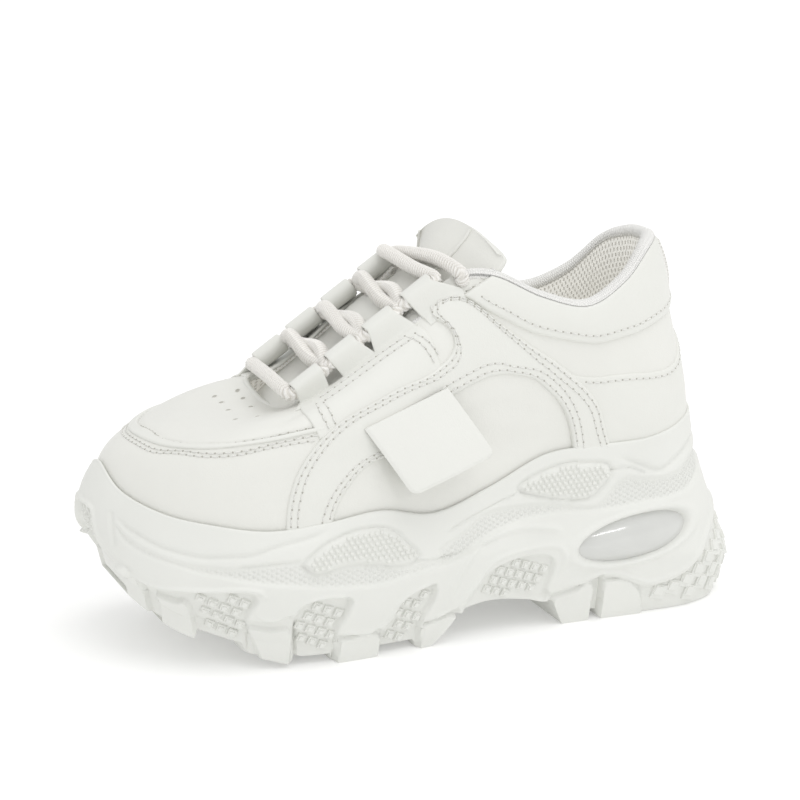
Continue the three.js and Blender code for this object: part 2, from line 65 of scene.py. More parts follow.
# Plan outline of the sole as shares of LENGTH and of half BALL_WIDTH, then heights of its widest line, rim, bed,
# bottom and tread, how far the upper's foot lies inside it, and how far the bottom is drawn in.
SOLE = rib_columns(
    ["along", "side", "wide", "rim", "tuck", "bed", "low", "tread", "skirt"],
    [
        (0, -15.4, 54, 73, 7, 58, 40, 33, 6),
        (1.8, (26.9, -57.7), 46, (66, 67), 7, 56, 34, 26, 6),
        (6.6, (61.5, -86.5), 37, (60.5, 62), 6.5, 52, 25, 17, 6),
        (13.2, (82.7, -98.1), 34, (57, 59), 6, 48, 18, 10, 6),
        (20.6, (96.2, -100), 34, (54.5, 57), 6, 45, 12, 4, 6),
        (28.7, (101, -96.2), 33, (56, 58), 6, 43.5, 9, -1.5, 6),
        (37.5, (98.1, -88.5), 33, (58, 60), 6, 44, 8, -2, 6),
        (46.3, (90.4, -80.8), 33, (53.5, 57), 6, 46, 9, -2, 5),
        (55.1, (82.7, -75), 36, (60, 62), 6, 50, 14, -1, 4),
        (64, (77.9, -73.1), 36, 70, 6, 55, 11, -1, 3),
        (72.8, (76.9, -75), 30, 71.5, 6, 59, 8, -1, 3),
        (81.2, (76.9, -76.9), 27, 72, 7.5, 62, 8, -1, 3),
        (89, (71.2, -74), 23, 76, 12.5, 64, 9, -1, 2),
        (95.6, (50, -55.8), 19, 80, 19, 65, 9, -1, 2),
        (99.8, 0, 18, 81.5, 22.5, 65, 9, -1, 2),
    ],
)
# Edge of the opening as shares of the same and of INSTEP_HEIGHT or COLLAR_HEIGHT, then how far up and out the
# leather starts from its foot, and how far out and down it is before it reaches the edge.
UPPER = rib_columns(
    ["along", "side", "up", "rise", "belly", "run", "drop"],
    [
        (26.8, 3.8, 65.1, 31, 3.5, 37, 4.5),
        ((27.9, 26.1), (19.2, -13.5), (65.5, 66.2), (33, 30), 3, 35, (4, 6)),
        ((29.4, 25.7), (35.6, -33.7), (68, 69.4), (36, 32), 2.5, 30, (4, 8)),
        ((32.4, 30.1), (38.5, -38.5), (71.5, 71.1), (40, 38), 2.5, 26, (5, 7)),
        ((36.4, 34.9), (40.4, -40.4), (77.5, 76.8), 44, 3, 22, 6),
        ((40.4, 39.3), (42.3, -42.3), (83.5, 83.1), 46, 3, 19, 7),
        ((45.6, 44.9), (44.2, -44.2), (91.2, 90.8), 48, 2, 17, 10),
        ((51.1, 50.4), (46.2, -46.2), 99.3, 48, 1, 13, 14),
        ((57, 56.2), (51.9, -51.9), 100, 40, 1, 8, 26),
        ((64, 63.6), (59.6, -59.6), (89.3, 87.9), 30, 2, 5, 26),
        ((71, 70.6), (61.5, -61.5), (86.2, 83.6), 24, 2.5, 4, 24),
        (77.6, (51.9, -55.8), (91.3, 87.9), 24, 3, 5, 25),
        (82.4, (36.5, -40.4), (98, 96.6), 26, 3, 7, 28),
        (85.3, (17.3, -19.2), 100, 28, 1, 8, 30),
        (86.4, 0, 100, 28, 1, 6, 30),
    ],
)
for table in (SOLE, UPPER):
    table["y"] = (table["along"] / 100 - 0.5) * LENGTH
    table["x"] = table["side"] / 200 * BALL_WIDTH
station = np.minimum(np.arange(RIBS), RIBS - np.arange(RIBS))
UPPER["z"] = UPPER["up"] / 100 * np.where(station < 9, INSTEP_HEIGHT, COLLAR_HEIGHT)


def unit(vectors):
    """Vectors divided by their length."""
    return vectors / np.linalg.norm(vectors, axis=-1, keepdims=True)


def smooth(a, b, x):
    """0 below a and 1 above b, with an S-shaped cubic between."""
    t = np.clip((x - a) / (b - a), 0, 1)
    return t * t * (3 - 2 * t)


def outline(u, out, z):
    """Point at height z, out outside the sole's widest outline: the outline plus out along its plan normal."""
    dx, dy = (at(SOLE[k], u + 0.05) - at(SOLE[k], u - 0.05) for k in "xy")
    n = np.hypot(dx, dy)
    x, y, z = np.broadcast_arrays(at(SOLE["x"], u) + out * dy / n, at(SOLE["y"], u) - out * dx / n, z)
    return np.stack([x, y, z + 0.0], -1)


def last(u, v):
    """Outer face of the upper: each rib is a cubic Bezier from the foot (v = 0) to the opening's edge (v = 1)."""
    u, v = np.broadcast_arrays(np.asarray(u, float) % RIBS, np.asarray(v, float))
    n = outline(u, 1, 0) - outline(u, 0, 0)
    foot = outline(u, -at(SOLE["tuck"], u), at(SOLE["bed"], u) + 0.3)
    edge = np.stack([at(UPPER[k], u) for k in "xyz"], -1)
    rise, belly, run, drop = (at(UPPER[k], u)[..., None] for k in ("rise", "belly", "run", "drop"))
    up, v = np.array([0, 0, 1.0]), v[..., None]
    low, high = foot + belly * n + rise * up, edge + run * n - drop * up
    w = 1 - v
    return w**3 * foot + 3 * w * w * v * low + 3 * w * v * v * high + v**3 * edge


# The stitched groove that bounds the apron on top of the toe, as (u, v) from the strap round the toe's tip.
APRON = [(-4.3, 0.5), (-2.9, 0.53), (-1.6, 0.5), (-0.8, 0.5), (0.1, 0.52), (0.8, 0.49), (1.5, 0.5), (2.9, 0.53),
         (4.3, 0.5)]


def upper(u, v, lift=0.0):
    """The last's face plus lift along its normal, with the apron's groove and soft troughs where the foot bends it.
    A trough is a bell across v round a share that drifts with u, faded at its ends."""
    u, v = np.broadcast_arrays(np.asarray(u, float), np.asarray(v, float))
    across = last(u, v + 0.01) - last(u, np.maximum(v - 0.01, 0))
    normal = unit(np.cross(last(u + 0.04, v) - last(u - 0.04, v), across))
    side = (u + 14) % RIBS - 14
    s = np.abs(side)
    ribs, shares = np.array(APRON).T
    relief = -0.45 * np.exp(-(((v - np.interp(side, ribs, shares)) / 0.008) ** 2)) * (s < 4.4)
    relief += 0.5 * smooth(0.55, 0.75, v) * (1 - smooth(0.8, 0.97, v)) * (1 - smooth(1.5, 3, s))
    for middle, rib, reach, wide, depth in (
        (0.30, 4.9, 0.9, 0.05, 0.5),
        (0.22, 8.0, 1.4, 0.06, 0.7),
        (0.36, 7.6, 1.0, 0.04, 0.4),
        (0.20, 11.4, 1.2, 0.05, 0.5),
        (0.72, 3.2, 0.8, 0.05, 0.4),
    ):
        drift = middle + 0.03 * np.sin(2.1 * (s - rib))
        relief -= depth * np.exp(-(((v - drift) / wide) ** 2) - ((s - rib) / reach) ** 2)
    return last(u, v) + (lift + relief)[..., None] * normal


WALL, COLLAR_PAD, LEATHER = 2.2, 3.6, 1.1  # leather with its lining, the foam inside the collar, the leather alone


def folded_rib(u):
    """The rib on the lateral side that mirrors u."""
    return 14 - np.abs(np.asarray(u, float) % RIBS - 14)


def wall(u, v):
    """Thickness of the upper: leather and lining, with foam inside the collar from the eyestays round the heel."""
    padded = smooth(7.2, 9.2, folded_rib(u)) * smooth(0.45, 0.8, v) * (1 - 0.35 * smooth(0.85, 1, v))
    return WALL + COLLAR_PAD * padded


def grid(points, wrap=True):
    """Closed body through a grid of points whose columns wrap round: its quads, turned so that they face outwards.
    Rows that wrap too make a ring; otherwise the first and last rows lie on themselves, as a point or a line."""
    rows, cols = points.shape[:2]
    index = np.arange(rows * cols).reshape(rows, cols)
    right = np.roll(index, -1, 1)
    if wrap == "both":
        faces = np.stack([index, right, np.roll(right, -1, 0), np.roll(index, -1, 0)], -1)
    else:
        faces = np.stack([index[:-1], right[:-1], right[1:], index[1:]], -1)
    faces, points = faces.reshape(-1, 4), points.reshape(-1, 3)
    a, b, c, d = (points[faces[:, k]] for k in range(4))
    volume = (a * np.cross(b, c)).sum() + (a * np.cross(c, d)).sum()
    return points, faces if volume > 0 else faces[:, ::-1]


def made(name, parts, material, slot, stands_for=(), uv=None, marks=None, sharp=38):
    """Joins grids into one object in metres. Points that coincide are one point, and a quad with two corners on
    one point is a triangle. uv is a pair per point, marks a number per point for the material to read."""
    starts = np.cumsum([0] + [len(p) for p, _ in parts])
    points = np.vstack([p for p, _ in parts]) / 1000
    faces = np.vstack([f + s for (_, f), s in zip(parts, starts)])
    _, first, same = np.unique(np.round(points, 7), axis=0, return_index=True, return_inverse=True)
    points, welded = points[first], same.reshape(-1)[faces]
    corner = welded != np.roll(welded, 1, axis=1)
    corner &= (corner.sum(1) >= 3)[:, None]
    count = corner.sum(1)
    count = count[count > 0]
    mesh = bpy.data.meshes.new(name)
    mesh.vertices.add(len(points))
    mesh.vertices.foreach_set("co", points.ravel())
    mesh.loops.add(int(count.sum()))
    mesh.loops.foreach_set("vertex_index", welded[corner].astype(np.int32))
    mesh.polygons.add(len(count))
    mesh.polygons.foreach_set("loop_start", (np.cumsum(count) - count).astype(np.int32))
    mesh.update(calc_edges=True)
    if uv is not None:
        layer = mesh.uv_layers.new(name="cloth")
        layer.data.foreach_set("uv", uv[faces[corner]].ravel())
    if marks is not None:
        mesh.attributes.new("relief_and_shade", "FLOAT", "POINT").data.foreach_set("value", marks[first].astype(np.float32))
    mesh.polygons.foreach_set("use_smooth", np.ones(len(count), bool))
    mesh.set_sharp_from_angle(angle=np.radians(sharp))
    mesh.materials.append(material)
    obj = bpy.data.objects.new(name, mesh)
    bpy.context.scene.collection.objects.link(obj)
    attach(obj, "root")
    if stands_for:
        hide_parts(*stands_for)
    return obj


class Shade:
    """An output socket of a material's nodes. Arithmetic on it adds Math nodes."""

    def __init__(self, tree, socket=None):
        self.tree, self.socket = tree, socket

    def node(self, kind, settings=None, output=0, **values):
        """Any other node: its type, its settings, then values or links by socket name, spaces as underscores."""
        node = self.tree.nodes.new(kind)
        for key, value in (settings or {}).items():
            setattr(node, key, value)
        for key, value in values.items():
            found = [i for i in node.inputs if i.name == key.replace("_", " ") and i.enabled]
            if isinstance(value, Shade):
                self.tree.links.new(value.socket, found[0])
            else:
                found[0].default_value = value
        return Shade(self.tree, node.outputs[output])

    def math(self, operation, *values):
        node = self.tree.nodes.new("ShaderNodeMath")
        node.operation = operation
        for socket, value in zip(node.inputs, values):
            if isinstance(value, Shade):
                self.tree.links.new(value.socket, socket)
            else:
                socket.default_value = value
        return Shade(self.tree, node.outputs[0])

    def __add__(self, other): return self.math("ADD", self, other)
    def __radd__(self, other): return self.math("ADD", other, self)
    def __sub__(self, other): return self.math("SUBTRACT", self, other)
    def __rsub__(self, other): return self.math("SUBTRACT", other, self)
    def __mul__(self, other): return self.math("MULTIPLY", self, other)
    def __rmul__(self, other): return self.math("MULTIPLY", other, self)
    def __pow__(self, other): return self.math("POWER", self, other)

    def tint(self, dark, light):
        """Colour between two, by this value."""
        return self.node("ShaderNodeMix", {"data_type": "RGBA"}, 2, Factor=self, A=(*dark, 1), B=(*light, 1))


def material(name, **fixed):
    """New material with a Principled surface, whose uniform values are set here. Returns it, its surface node, an
    empty Shade to build from and the object's own coordinates in metres."""
    made_of = bpy.data.materials.new(name)
    made_of.use_nodes = True
    tree = made_of.node_tree
    surface = tree.nodes["Principled BSDF"]
    for key, value in fixed.items():
        surface.inputs[key.replace("_", " ")].default_value = value
    start = Shade(tree)
    return made_of, surface, start, start.node("ShaderNodeTexCoord", output=3)


def finish(surface, colour, roughness, height, distance):
    """Links a surface's colour, roughness and the height that its bump is made of, distance metres tall."""
    tree = colour.tree
    bump = colour.node("ShaderNodeBump", Strength=1.0, Distance=distance, Height=height)
    for key, value in (("Base Color", colour), ("Roughness", roughness), ("Normal", bump)):
        tree.links.new(value.socket, surface.inputs[key])


def leather(name, light, dark, gloss):
    """Coated leather: a tight pebble of Voronoi cells about half a millimetre wide, broken up by finer noise, over
    slow unevenness of the hide. The finish is a little duller and greyer in patches as wide as a thumb."""
    made_of, surface, start, place = material(name, Specular_IOR_Level=0.42, Coat_Weight=0.06, Coat_Roughness=0.3)
    pebble = start.node("ShaderNodeTexVoronoi", {"feature": "SMOOTH_F1"}, Vector=place, Scale=1900.0, Smoothness=0.6)
    pores = start.node("ShaderNodeTexNoise", Vector=place, Scale=5200.0, Detail=2.0)
    hide = start.node("ShaderNodeTexNoise", Vector=place, Scale=130.0, Detail=3.0)
    patch = start.node("ShaderNodeTexNoise", Vector=place, Scale=28.0, Detail=4.0, Roughness=0.6)
    finish(surface, (patch * 0.75 + hide * 0.35).tint(dark, light), gloss + patch * 0.12 + pores * 0.06,
           0.35 * pebble + 0.2 * pores + 1.3 * hide, 0.00011)
    return made_of


white_leather = leather("white_leather", (0.785, 0.785, 0.745), (0.735, 0.735, 0.695), 0.36)

around = np.arange(0, RIBS, 1 / 26)
shares = np.linspace(0, 1, 66)[:, None]
outer = upper(around, shares)
inner = upper(around, shares[::-6], -LEATHER)
made("upper_leather", [grid(np.concatenate([outer, inner]), "both")], white_leather, "leather", ["upper"])

# ------------------------------------------------------------------ lining and collar foam
# Spacer mesh over foam, glued inside the leather. Its face is a knit with a dark hole at every other loop; the dark of
# the holes is painted shade.
# The faint white emission is painted light: it makes the lining glow brighter than the shade inside the shoe allows.
lining_mesh, surface, start, place = material("lining_mesh", Specular_IOR_Level=0.2,
                                              Emission_Color=(1, 0.98, 0.93, 1), Emission_Strength=0.16)
cloth = start.node("ShaderNodeUVMap", {"uv_map": "cloth"})
across = cloth.node("ShaderNodeSeparateXYZ", Vector=cloth)
along, up = across, Shade(across.tree, across.socket.node.outputs[1])
# The holes lie on two interlaced square grids, 1.9 wide and 3.4 high: a product of cosines is tallest at each.
hole = along.math("COSINE", along * (np.pi / 0.95)) * up.math("COSINE", up * (np.pi / 1.7))
deep = hole.math("SMOOTH_MIN", hole.math("MAXIMUM", hole * 2.4 - 0.9, 0.0), 1.0, 0.2)
fuzz = start.node("ShaderNodeTexNoise", Vector=place, Scale=2600.0, Detail=2.0)
# The holes' dark colour is painted shade, on top of their bump.
finish(surface, (deep * 0.95 + fuzz * 0.2).tint((0.95, 0.945, 0.915), (0.6, 0.58, 0.52)), 0.85 + fuzz * 0.1,
       fuzz * 0.3 - deep, 0.0006)

around = np.arange(0, RIBS, 1 / 20)
shares = np.linspace(0, 1, 44)[:, None]
inside = upper(around, shares, -wall(around, shares))
behind = upper(around, shares[::-6], -LEATHER)
inside[0, :, 2] = behind[-1, :, 2]
body = np.concatenate([inside, behind])
length = np.cumsum(np.linalg.norm(np.roll(last(around, 0.9), -1, 0) - last(around, 0.9), axis=-1))
height = np.cumsum(np.full(len(body), 1.55))[:, None] + 0 * length
cloth_uv = np.stack([np.broadcast_to(length, height.shape), height], -1).reshape(-1, 2)
made("upper_lining", [grid(body, "both")], lining_mesh, "lining", uv=cloth_uv)

# ------------------------------------------------------------------ insole
# Foam sock with a brushed face, laid loose on the bed of the cup. A heel cup and an arch rise at its edges.
sock_cloth, surface, start, place = material("sock_cloth", Specular_IOR_Level=0.2)
fuzz = start.node("ShaderNodeTexNoise", Vector=place, Scale=1800.0, Detail=4.0)
twill = start.node("ShaderNodeTexWave", {"bands_direction": "DIAGONAL"}, Vector=place, Scale=420.0, Distortion=1.0)
# The twill's lines are a little lighter on their ridges: slight painted shade, with the noise's random tone.
finish(surface, (fuzz * 0.7 + twill * 0.2).tint((0.74, 0.73, 0.68), (0.83, 0.82, 0.78)), 0.85 + fuzz * 0.1,
       fuzz + 0.4 * twill, 0.0003)
around = np.arange(0, RIBS, 1 / 10)
rings = []
for out, rise in ((5.2, 0.6), (5.2, 3.6), (5.6, 4.6), (6.6, 5.0), (9, 4.9), (14, 4.5), (20, 4.3)):
    rings.append(outline(around, -at(SOLE["tuck"], around) - out, at(SOLE["bed"], around) + rise))
mirror = -np.arange(len(around)) % len(around)
rings.append((rings[-1] + rings[-1][mirror]) / 2)
rings.insert(0, (rings[0] + rings[0][mirror]) / 2)
made("insole_sock", [grid(np.array(rings))], sock_cloth, "lining", ["insole"])

# ------------------------------------------------------------------ sewn panels
# Leather panels skived at the edge and sewn flat on the base layer, each side of the shoe: the eyestay with the lace
# tabs, the arched strap, the welt round the apron, the heel counter and the padded collar panel.
white_panel = leather("panel_leather", (0.775, 0.78, 0.74), (0.73, 0.73, 0.69), 0.38)
RIB_WIDE, SHARE_HIGH = 24, 80  # about one rib and one whole share, for spacing points along a line


def gone_along(points):
    """Distance gone along a line at each of its points."""
    return np.append(0, np.cumsum(np.linalg.norm(np.diff(points, axis=0), axis=1)))


def points_at(stops, gone, points):
    """Points of a line at distances along it, where gone is the distance at each of the points given."""
    return np.stack([np.interp(stops, gone, column) for column in points.T], -1)


def curve(rows, step, scale=1.0):
    """Smooth line through rows of numbers (each stretch is a cubic, as in `at`), in points about step apart. scale
    turns the numbers into millimetres before distances are taken. Also returns the distance along it."""
    rows = np.array(rows, float)
    padded = np.vstack([2 * rows[0] - rows[1], rows, 2 * rows[-1] - rows[-2]])
    t = np.linspace(0, len(rows) - 1, 24 * len(rows))[:, None]
    i = np.minimum(np.floor(t).astype(int), len(rows) - 2)[:, 0]
    t = t - i[:, None]
    a, b, c, d = (padded[i + k] for k in range(4))
    fine = b + 0.5 * t * (c - a + t * (2 * a - 5 * b + 4 * c - d + t * (3 * b - a - 3 * c + d)))
    gone = gone_along(fine * scale)
    stops = np.linspace(0, gone[-1], max(2, int(gone[-1] / step) + 1))
    return points_at(stops, gone, fine), stops


EDGE = np.array([0, 0.06, 0.22, 0.5, 0.8, 1.0])  # shares of a panel's rounding, from its edge inwards


def rounded(share):
    """Quarter circle: 0 at the edge, 1 where the rounding ends."""
    return np.sqrt(1 - (1 - np.clip(share, 0, 1)) ** 2)


def panel(rows, thick, puff=0.0, side=1, step=2.0, columns=14):
    """Sheet between two edges. A row is (u, v) on one edge, (u, v) on the other and how much another sheet lifts it
    there. Its face stands thick above the base, with rounded edges and puff more in its middle; its back lies just
    under the base. Returns the body and a function that gives points d inside either edge, for its seams."""
    scale = np.array([RIB_WIDE, SHARE_HIGH, RIB_WIDE, SHARE_HIGH, 0]) / 2
    line, gone = curve([row if len(row) == 5 else (*row, 0) for row in rows], step, scale)
    radius = 1.2 * thick
    stops = np.concatenate([EDGE * radius, gone[(gone > 1.5 * radius) & (gone < gone[-1] - 1.5 * radius)],
                            gone[-1] - EDGE[::-1] * radius])
    rowed = points_at(stops, gone, line)
    one, other, over = rowed[:, :2], rowed[:, 2:4], rowed[:, 4]
    if side < 0:
        one, other = (np.stack([RIBS - e[:, 0], e[:, 1]], -1) for e in (one, other))
    wide = np.linalg.norm(upper(*one.T) - upper(*other.T), axis=1)[:, None]
    near = np.minimum(EDGE * radius, 0.45 * wide)
    middle = near[:, -1:] + (wide - 2 * near[:, -1:]) * np.linspace(0, 1, columns)[None, 1:-1]
    inwards = np.concatenate([near, middle, wide - near[:, ::-1]], 1)
    share = (inwards / wide)[..., None]
    uv = one[:, None] * (1 - share) + other[:, None] * share
    from_end = np.minimum(stops, gone[-1] - stops)[:, None]
    round_off = np.minimum(rounded(np.minimum(inwards, wide - inwards) / radius), rounded(from_end / radius))
    lift = (thick + over[:, None] + puff * np.sin(np.pi * share[..., 0]) ** 0.7) * round_off
    face = upper(uv[..., 0], uv[..., 1], lift)
    back = upper(uv[..., 0], uv[..., 1], -0.4 * (from_end > 0))
    def inset(edge, d):
        share = np.clip(d / wide, 0, 0.5) if edge == 0 else 1 - np.clip(d / wide, 0, 0.5)
        ended = (stops > 2.5) & (stops < gone[-1] - 2.5)
        top = thick + over[:, None] + puff * np.sin(np.pi * share) ** 0.7
        return np.concatenate([one * (1 - share) + other * share, top], 1)[ended]
    return grid(np.concatenate([face, back[:, ::-1]], 1)), inset


def sheet(face, back):
    """Closed sheet between two grids of points, joined round their edges."""
    ends = ((face + back) / 2)[[0, -1]]
    rows = [np.concatenate([a, b[:, ::-1]], 1) for a, b in ((ends[:1], ends[:1]), (face, back), (ends[1:], ends[1:]))]
    return grid(np.concatenate(rows))


EYESTAY = [
    (4.38, 0.42, 1.95, 0.985), (4.75, 0.43, 2.9, 0.95), (5.2, 0.46, 3.6, 0.90), (5.55, 0.48, 4.2, 0.915),
    (5.95, 0.48, 4.8, 0.925), (6.3, 0.48, 5.3, 0.9), (6.8, 0.52, 6.0, 0.87),
]
MEDIAL_HIGHER = (0.03, 0.08, 0.13, 0.13, 0.12, 0.12, 0.08)  # how much higher the inner eyestay's top edge runs
STRAP = [
    (4.35, 0.02, 5.1, 0.02, 0), (4.25, 0.17, 5.2, 0.16, 0), (4.25, 0.31, 5.55, 0.26, 0), (4.4, 0.43, 6.0, 0.28, 0.3),
    (4.7, 0.5, 6.3, 0.31, 0.8), (5.2, 0.53, 6.6, 0.35, 0.8), (5.8, 0.55, 6.9, 0.39, 0.8), (6.4, 0.54, 7.1, 0.42, 0.6),
    (6.7, 0.55, 7.3, 0.44, 0), (6.9, 0.57, 7.45, 0.46, 0), (7.0, 0.62, 7.6, 0.48, 0), (6.9, 0.68, 7.75, 0.5, 0),
    (6.7, 0.74, 7.9, 0.52, 0), (6.4, 0.82, 8.1, 0.535, 0), (6.3, 0.9, 8.25, 0.545, 0), (6.75, 0.885, 8.4, 0.55, 0),
    (7.4, 0.83, 8.5, 0.555, 0), (8.1, 0.765, 8.65, 0.558, 0), (8.7, 0.72, 8.8, 0.55, 0), (9.2, 0.67, 8.97, 0.52, 0),
    (9.7, 0.56, 9.2, 0.46, 0.5), (10.0, 0.43, 9.36, 0.38, 0.8), (10.1, 0.29, 9.45, 0.28, 0.8),
    (10.2, 0.15, 9.5, 0.17, 0.8), (10.25, 0.02, 9.55, 0.02, 0.8),
]
WELT = [(-4.35, 0.475, -4.35, 0.495), (-3.6, 0.475, -3.5, 0.515), (-2.6, 0.475, -2.6, 0.52), (-1.6, 0.44, -1.6, 0.49),
        (-0.6, 0.44, -0.6, 0.495), (0.3, 0.44, 0.2, 0.505), (1.0, 0.435, 1.0, 0.485), (1.6, 0.45, 1.6, 0.495),
        (2.1, 0.465, 2.1, 0.515), (2.7, 0.485, 2.8, 0.52), (3.6, 0.475, 3.6, 0.51), (4.35, 0.465, 4.35, 0.49)]
COUNTER = [(10.0, 0.04, 9.45, 0.61), (10.5, 0.04, 10.3, 0.565), (10.8, 0.04, 10.8, 0.52), (11.3, 0.04, 11.3, 0.47),
           (11.8, 0.04, 11.8, 0.44), (12.3, 0.04, 12.3, 0.45), (12.9, 0.04, 12.9, 0.51), (13.95, 0.04, 13.95, 0.57)]
COLLAR = [(7.15, 0.86, 7.95, 0.985), (7.5, 0.825, 8.1, 0.985), (7.8, 0.805, 8.3, 0.985), (8.5, 0.785, 8.7, 0.985),
          (9.1, 0.79, 9.1, 0.985), (9.7, 0.79, 9.7, 0.985), (10.4, 0.75, 10.4, 0.985), (11.2, 0.695, 11.2, 0.985),
          (12.1, 0.665, 12.1, 0.985), (13.1, 0.68, 13.1, 0.985), (13.95, 0.69, 13.95, 0.985)]
seams = []
for side, name in ((1, "lateral"), (-1, "medial")):
    body, inset = panel(COUNTER, 0.8, side=side)
    made(f"heel_counter_{name}", [body], white_panel, "leather")
    seams += [(inset(1, 2.2), side)]
    rows = EYESTAY if side > 0 else [(*row[:3], row[3] + high) for row, high in zip(EYESTAY, MEDIAL_HIGHER)]
    body, inset = panel(rows, 0.8, side=side)
    made(f"eyestay_{name}", [body], white_panel, "leather")
    body, inset = panel(STRAP, 1.1, side=side, columns=20)
    made(f"strap_{name}", [body], white_panel, "leather")
    seams += [(inset(edge, d), side) for edge in (0, 1) for d in (1.8, 4.4)]
    body, inset = panel(COLLAR, 1.0, puff=1.2, side=side)
    made(f"collar_panel_{name}", [body], white_panel, "leather")
    seams += [(inset(0, 3.2), side)]
body, inset = panel(WELT, 0.9)
made("apron_welt", [body], white_panel, "leather")

# ------------------------------------------------------------------ sewing thread
# Lockstitch in thick bonded thread, 3.3 to a stitch, in double rows on the straps and single ones elsewhere. Each
# stitch sinks into a needle hole at either end, and the holes read as rows of dots: flat dark discs, painted shade.
STITCH = 3.3


def line_on_upper(rows, side=1):
    """Points every stitch along rows of (u, v, lift), on the face of the upper, with its normal and direction."""
    line, _ = curve(rows, 0.8, (RIB_WIDE, SHARE_HIGH, 0))
    u = line[:, 0] if side > 0 or line[0, 0] > 14 else RIBS - line[:, 0]
    place = upper(u, line[:, 1], line[:, 2])
    gone = gone_along(place)
    clear = gone[place[:, 2] > at(SOLE["rim"], u % RIBS) + 0.6]  # above the rim of the sole
    stops = np.arange(clear[0] + 0.5, clear[-1], STITCH)
    place, lifted = (points_at(stops, gone, p) for p in (place, upper(u, line[:, 1], line[:, 2] + 1)))
    return place, unit(lifted - place), unit(np.gradient(place, axis=0))


def scattered(shape, places, normals, forwards):
    """Copies of a closed grid at each place: its x runs forwards, its z along the normal. All of them, joined."""
    forwards = unit(forwards - (forwards * normals).sum(-1, keepdims=True) * normals)
    frame_of = np.stack([forwards, np.cross(normals, forwards), normals], 1)
    points, faces = shape
    spread = places[:, None] + np.einsum("pk,nkj->npj", points, frame_of)
    every = faces[None] + (np.arange(len(places)) * len(points))[:, None, None]
    return spread.reshape(-1, 3), every.reshape(-1, 4)


def turns(sides):
    """Angles evenly round a circle."""
    return np.linspace(0, 2 * np.pi, sides, endpoint=False)


def turned(profile, sides):
    """Solid of revolution about z: rings of (radius, height)."""
    angle = turns(sides)
    r, z = np.array(profile, float).T[..., None]
    return grid(np.stack([r * np.cos(angle), r * np.sin(angle), z + 0 * angle], -1))


theta = np.linspace(0, np.pi, 6)
bead = turned(np.stack([np.sin(theta), -np.cos(theta)], -1), 6)
thread_shape = (bead[0] * (1.28, 0.36, 0.36), bead[1])
hole_shape = (bead[0] * (0.42, 0.42, 0.16), bead[1])
thread, surface, start, place = material("thread", Specular_IOR_Level=0.35)
ply = start.node("ShaderNodeTexWave", {"bands_direction": "DIAGONAL"}, Vector=place, Scale=900.0, Distortion=2.0)
# The ply's grooves are darker in colour than its ridges: painted shade, following the same waves as the bump.
finish(surface, ply.tint((0.74, 0.735, 0.7), (0.82, 0.82, 0.79)), 0.5 + ply * 0.1, ply, 0.00008)
# Needle holes: a dark colour that is painted shade, mottled by noise.
needle_hole, surface, start, place = material("needle_hole", Specular_IOR_Level=0.1)
hole_shade_mottle = start.node("ShaderNodeTexNoise", Vector=place, Scale=3000.0, Detail=2.0)
finish(surface, hole_shade_mottle.tint((0.36, 0.35, 0.31), (0.56, 0.55, 0.51)), 0.8 + hole_shade_mottle * 0.1, hole_shade_mottle, 0.00005)
# Seams that follow no panel's edge, as (u, v, height above the base). Two run side by side below the welt.
UNDER_WELT = [(-4.2, 0.49), (-2.8, 0.49), (-1.6, 0.455), (-0.6, 0.455), (0.3, 0.45), (1.0, 0.435), (1.5, 0.46),
              (2.1, 0.46), (2.7, 0.47), (3.3, 0.49), (4.2, 0.48)]
for rows in (
    [(u, v - 0.03, 0.05) for u, v in UNDER_WELT],
    [(u, v - 0.055, 0.05) for u, v in UNDER_WELT],
    [(u, v, 0.1) for u, v in APRON],
):
    seams.append((np.array(rows), 1))
for side in (1, -1):
    for rows in (
        [(3.42, 0.733), (3.9, 0.6), (4.42, 0.475)],
        [(3.72, 0.69), (4.17, 0.58), (4.58, 0.475)],
        [(3.36, 0.79), (3.9, 0.82), (4.46, 0.842), (5.0, 0.85), (5.54, 0.85)],
        [(3.72, 0.7), (4.3, 0.755), (4.82, 0.78), (5.3, 0.795), (5.76, 0.8)],
        [(5.62, 0.86), (6.05, 0.74), (6.44, 0.61)],
        [(5.88, 0.83), (6.22, 0.73), (6.56, 0.62)],
    ):
        seams.append((np.array([(*place, 0.8) for place in rows]), side))
    seams.append((np.array([(7.25, 0.885, 0.1), (7.6, 0.93, 0.1), (7.85, 0.965, 0.1)]), side))
threads, holes = [], []
for rows, side in seams:
    spot, normal, forward = line_on_upper(rows, side)
    threads.append(scattered(thread_shape, spot + forward * STITCH / 2 + 0.05 * normal, normal, forward))
    holes.append(scattered(hole_shape, spot + 0.02 * normal, normal, forward))
made("stitching", threads, thread, "leather")
made("needle_holes", holes, needle_hole, "leather")

# ------------------------------------------------------------------ air holes in the vamp
# Punched through the apron in two rows across it. The cut edge shows as a soft rim round a dark hole; the hole is a
# flat dark disc of painted shade.
HOLES = np.array([(-1.2, 0.842), (-0.76, 0.858), (-0.02, 0.85), (0.98, 0.783), (-1.36, 0.942), (-0.88, 0.942),
                  (-0.02, 0.933), (1.32, 0.833)])
spot = upper(*HOLES.T)
normal = unit(upper(*HOLES.T, 1.0) - spot)
forward = np.tile([1.0, 0, 0], (len(HOLES), 1))
# The hole itself is not cut: a flat disc in the needle holes' dark colour stands in for it, as painted shade.
dark = turned([(0, -0.3), (0.95, -0.3), (0.95, 0.06), (0, 0.06)], 14)
soft_rim = turned([(0.92, -0.2), (0.94, 0.12), (1.1, 0.2), (1.3, 0.1), (1.5, -0.2)], 14)
made("air_holes", [scattered(dark, spot, normal, forward)], needle_hole, "leather")
made("air_hole_rims", [scattered(soft_rim, spot, normal, forward)], white_leather, "leather")

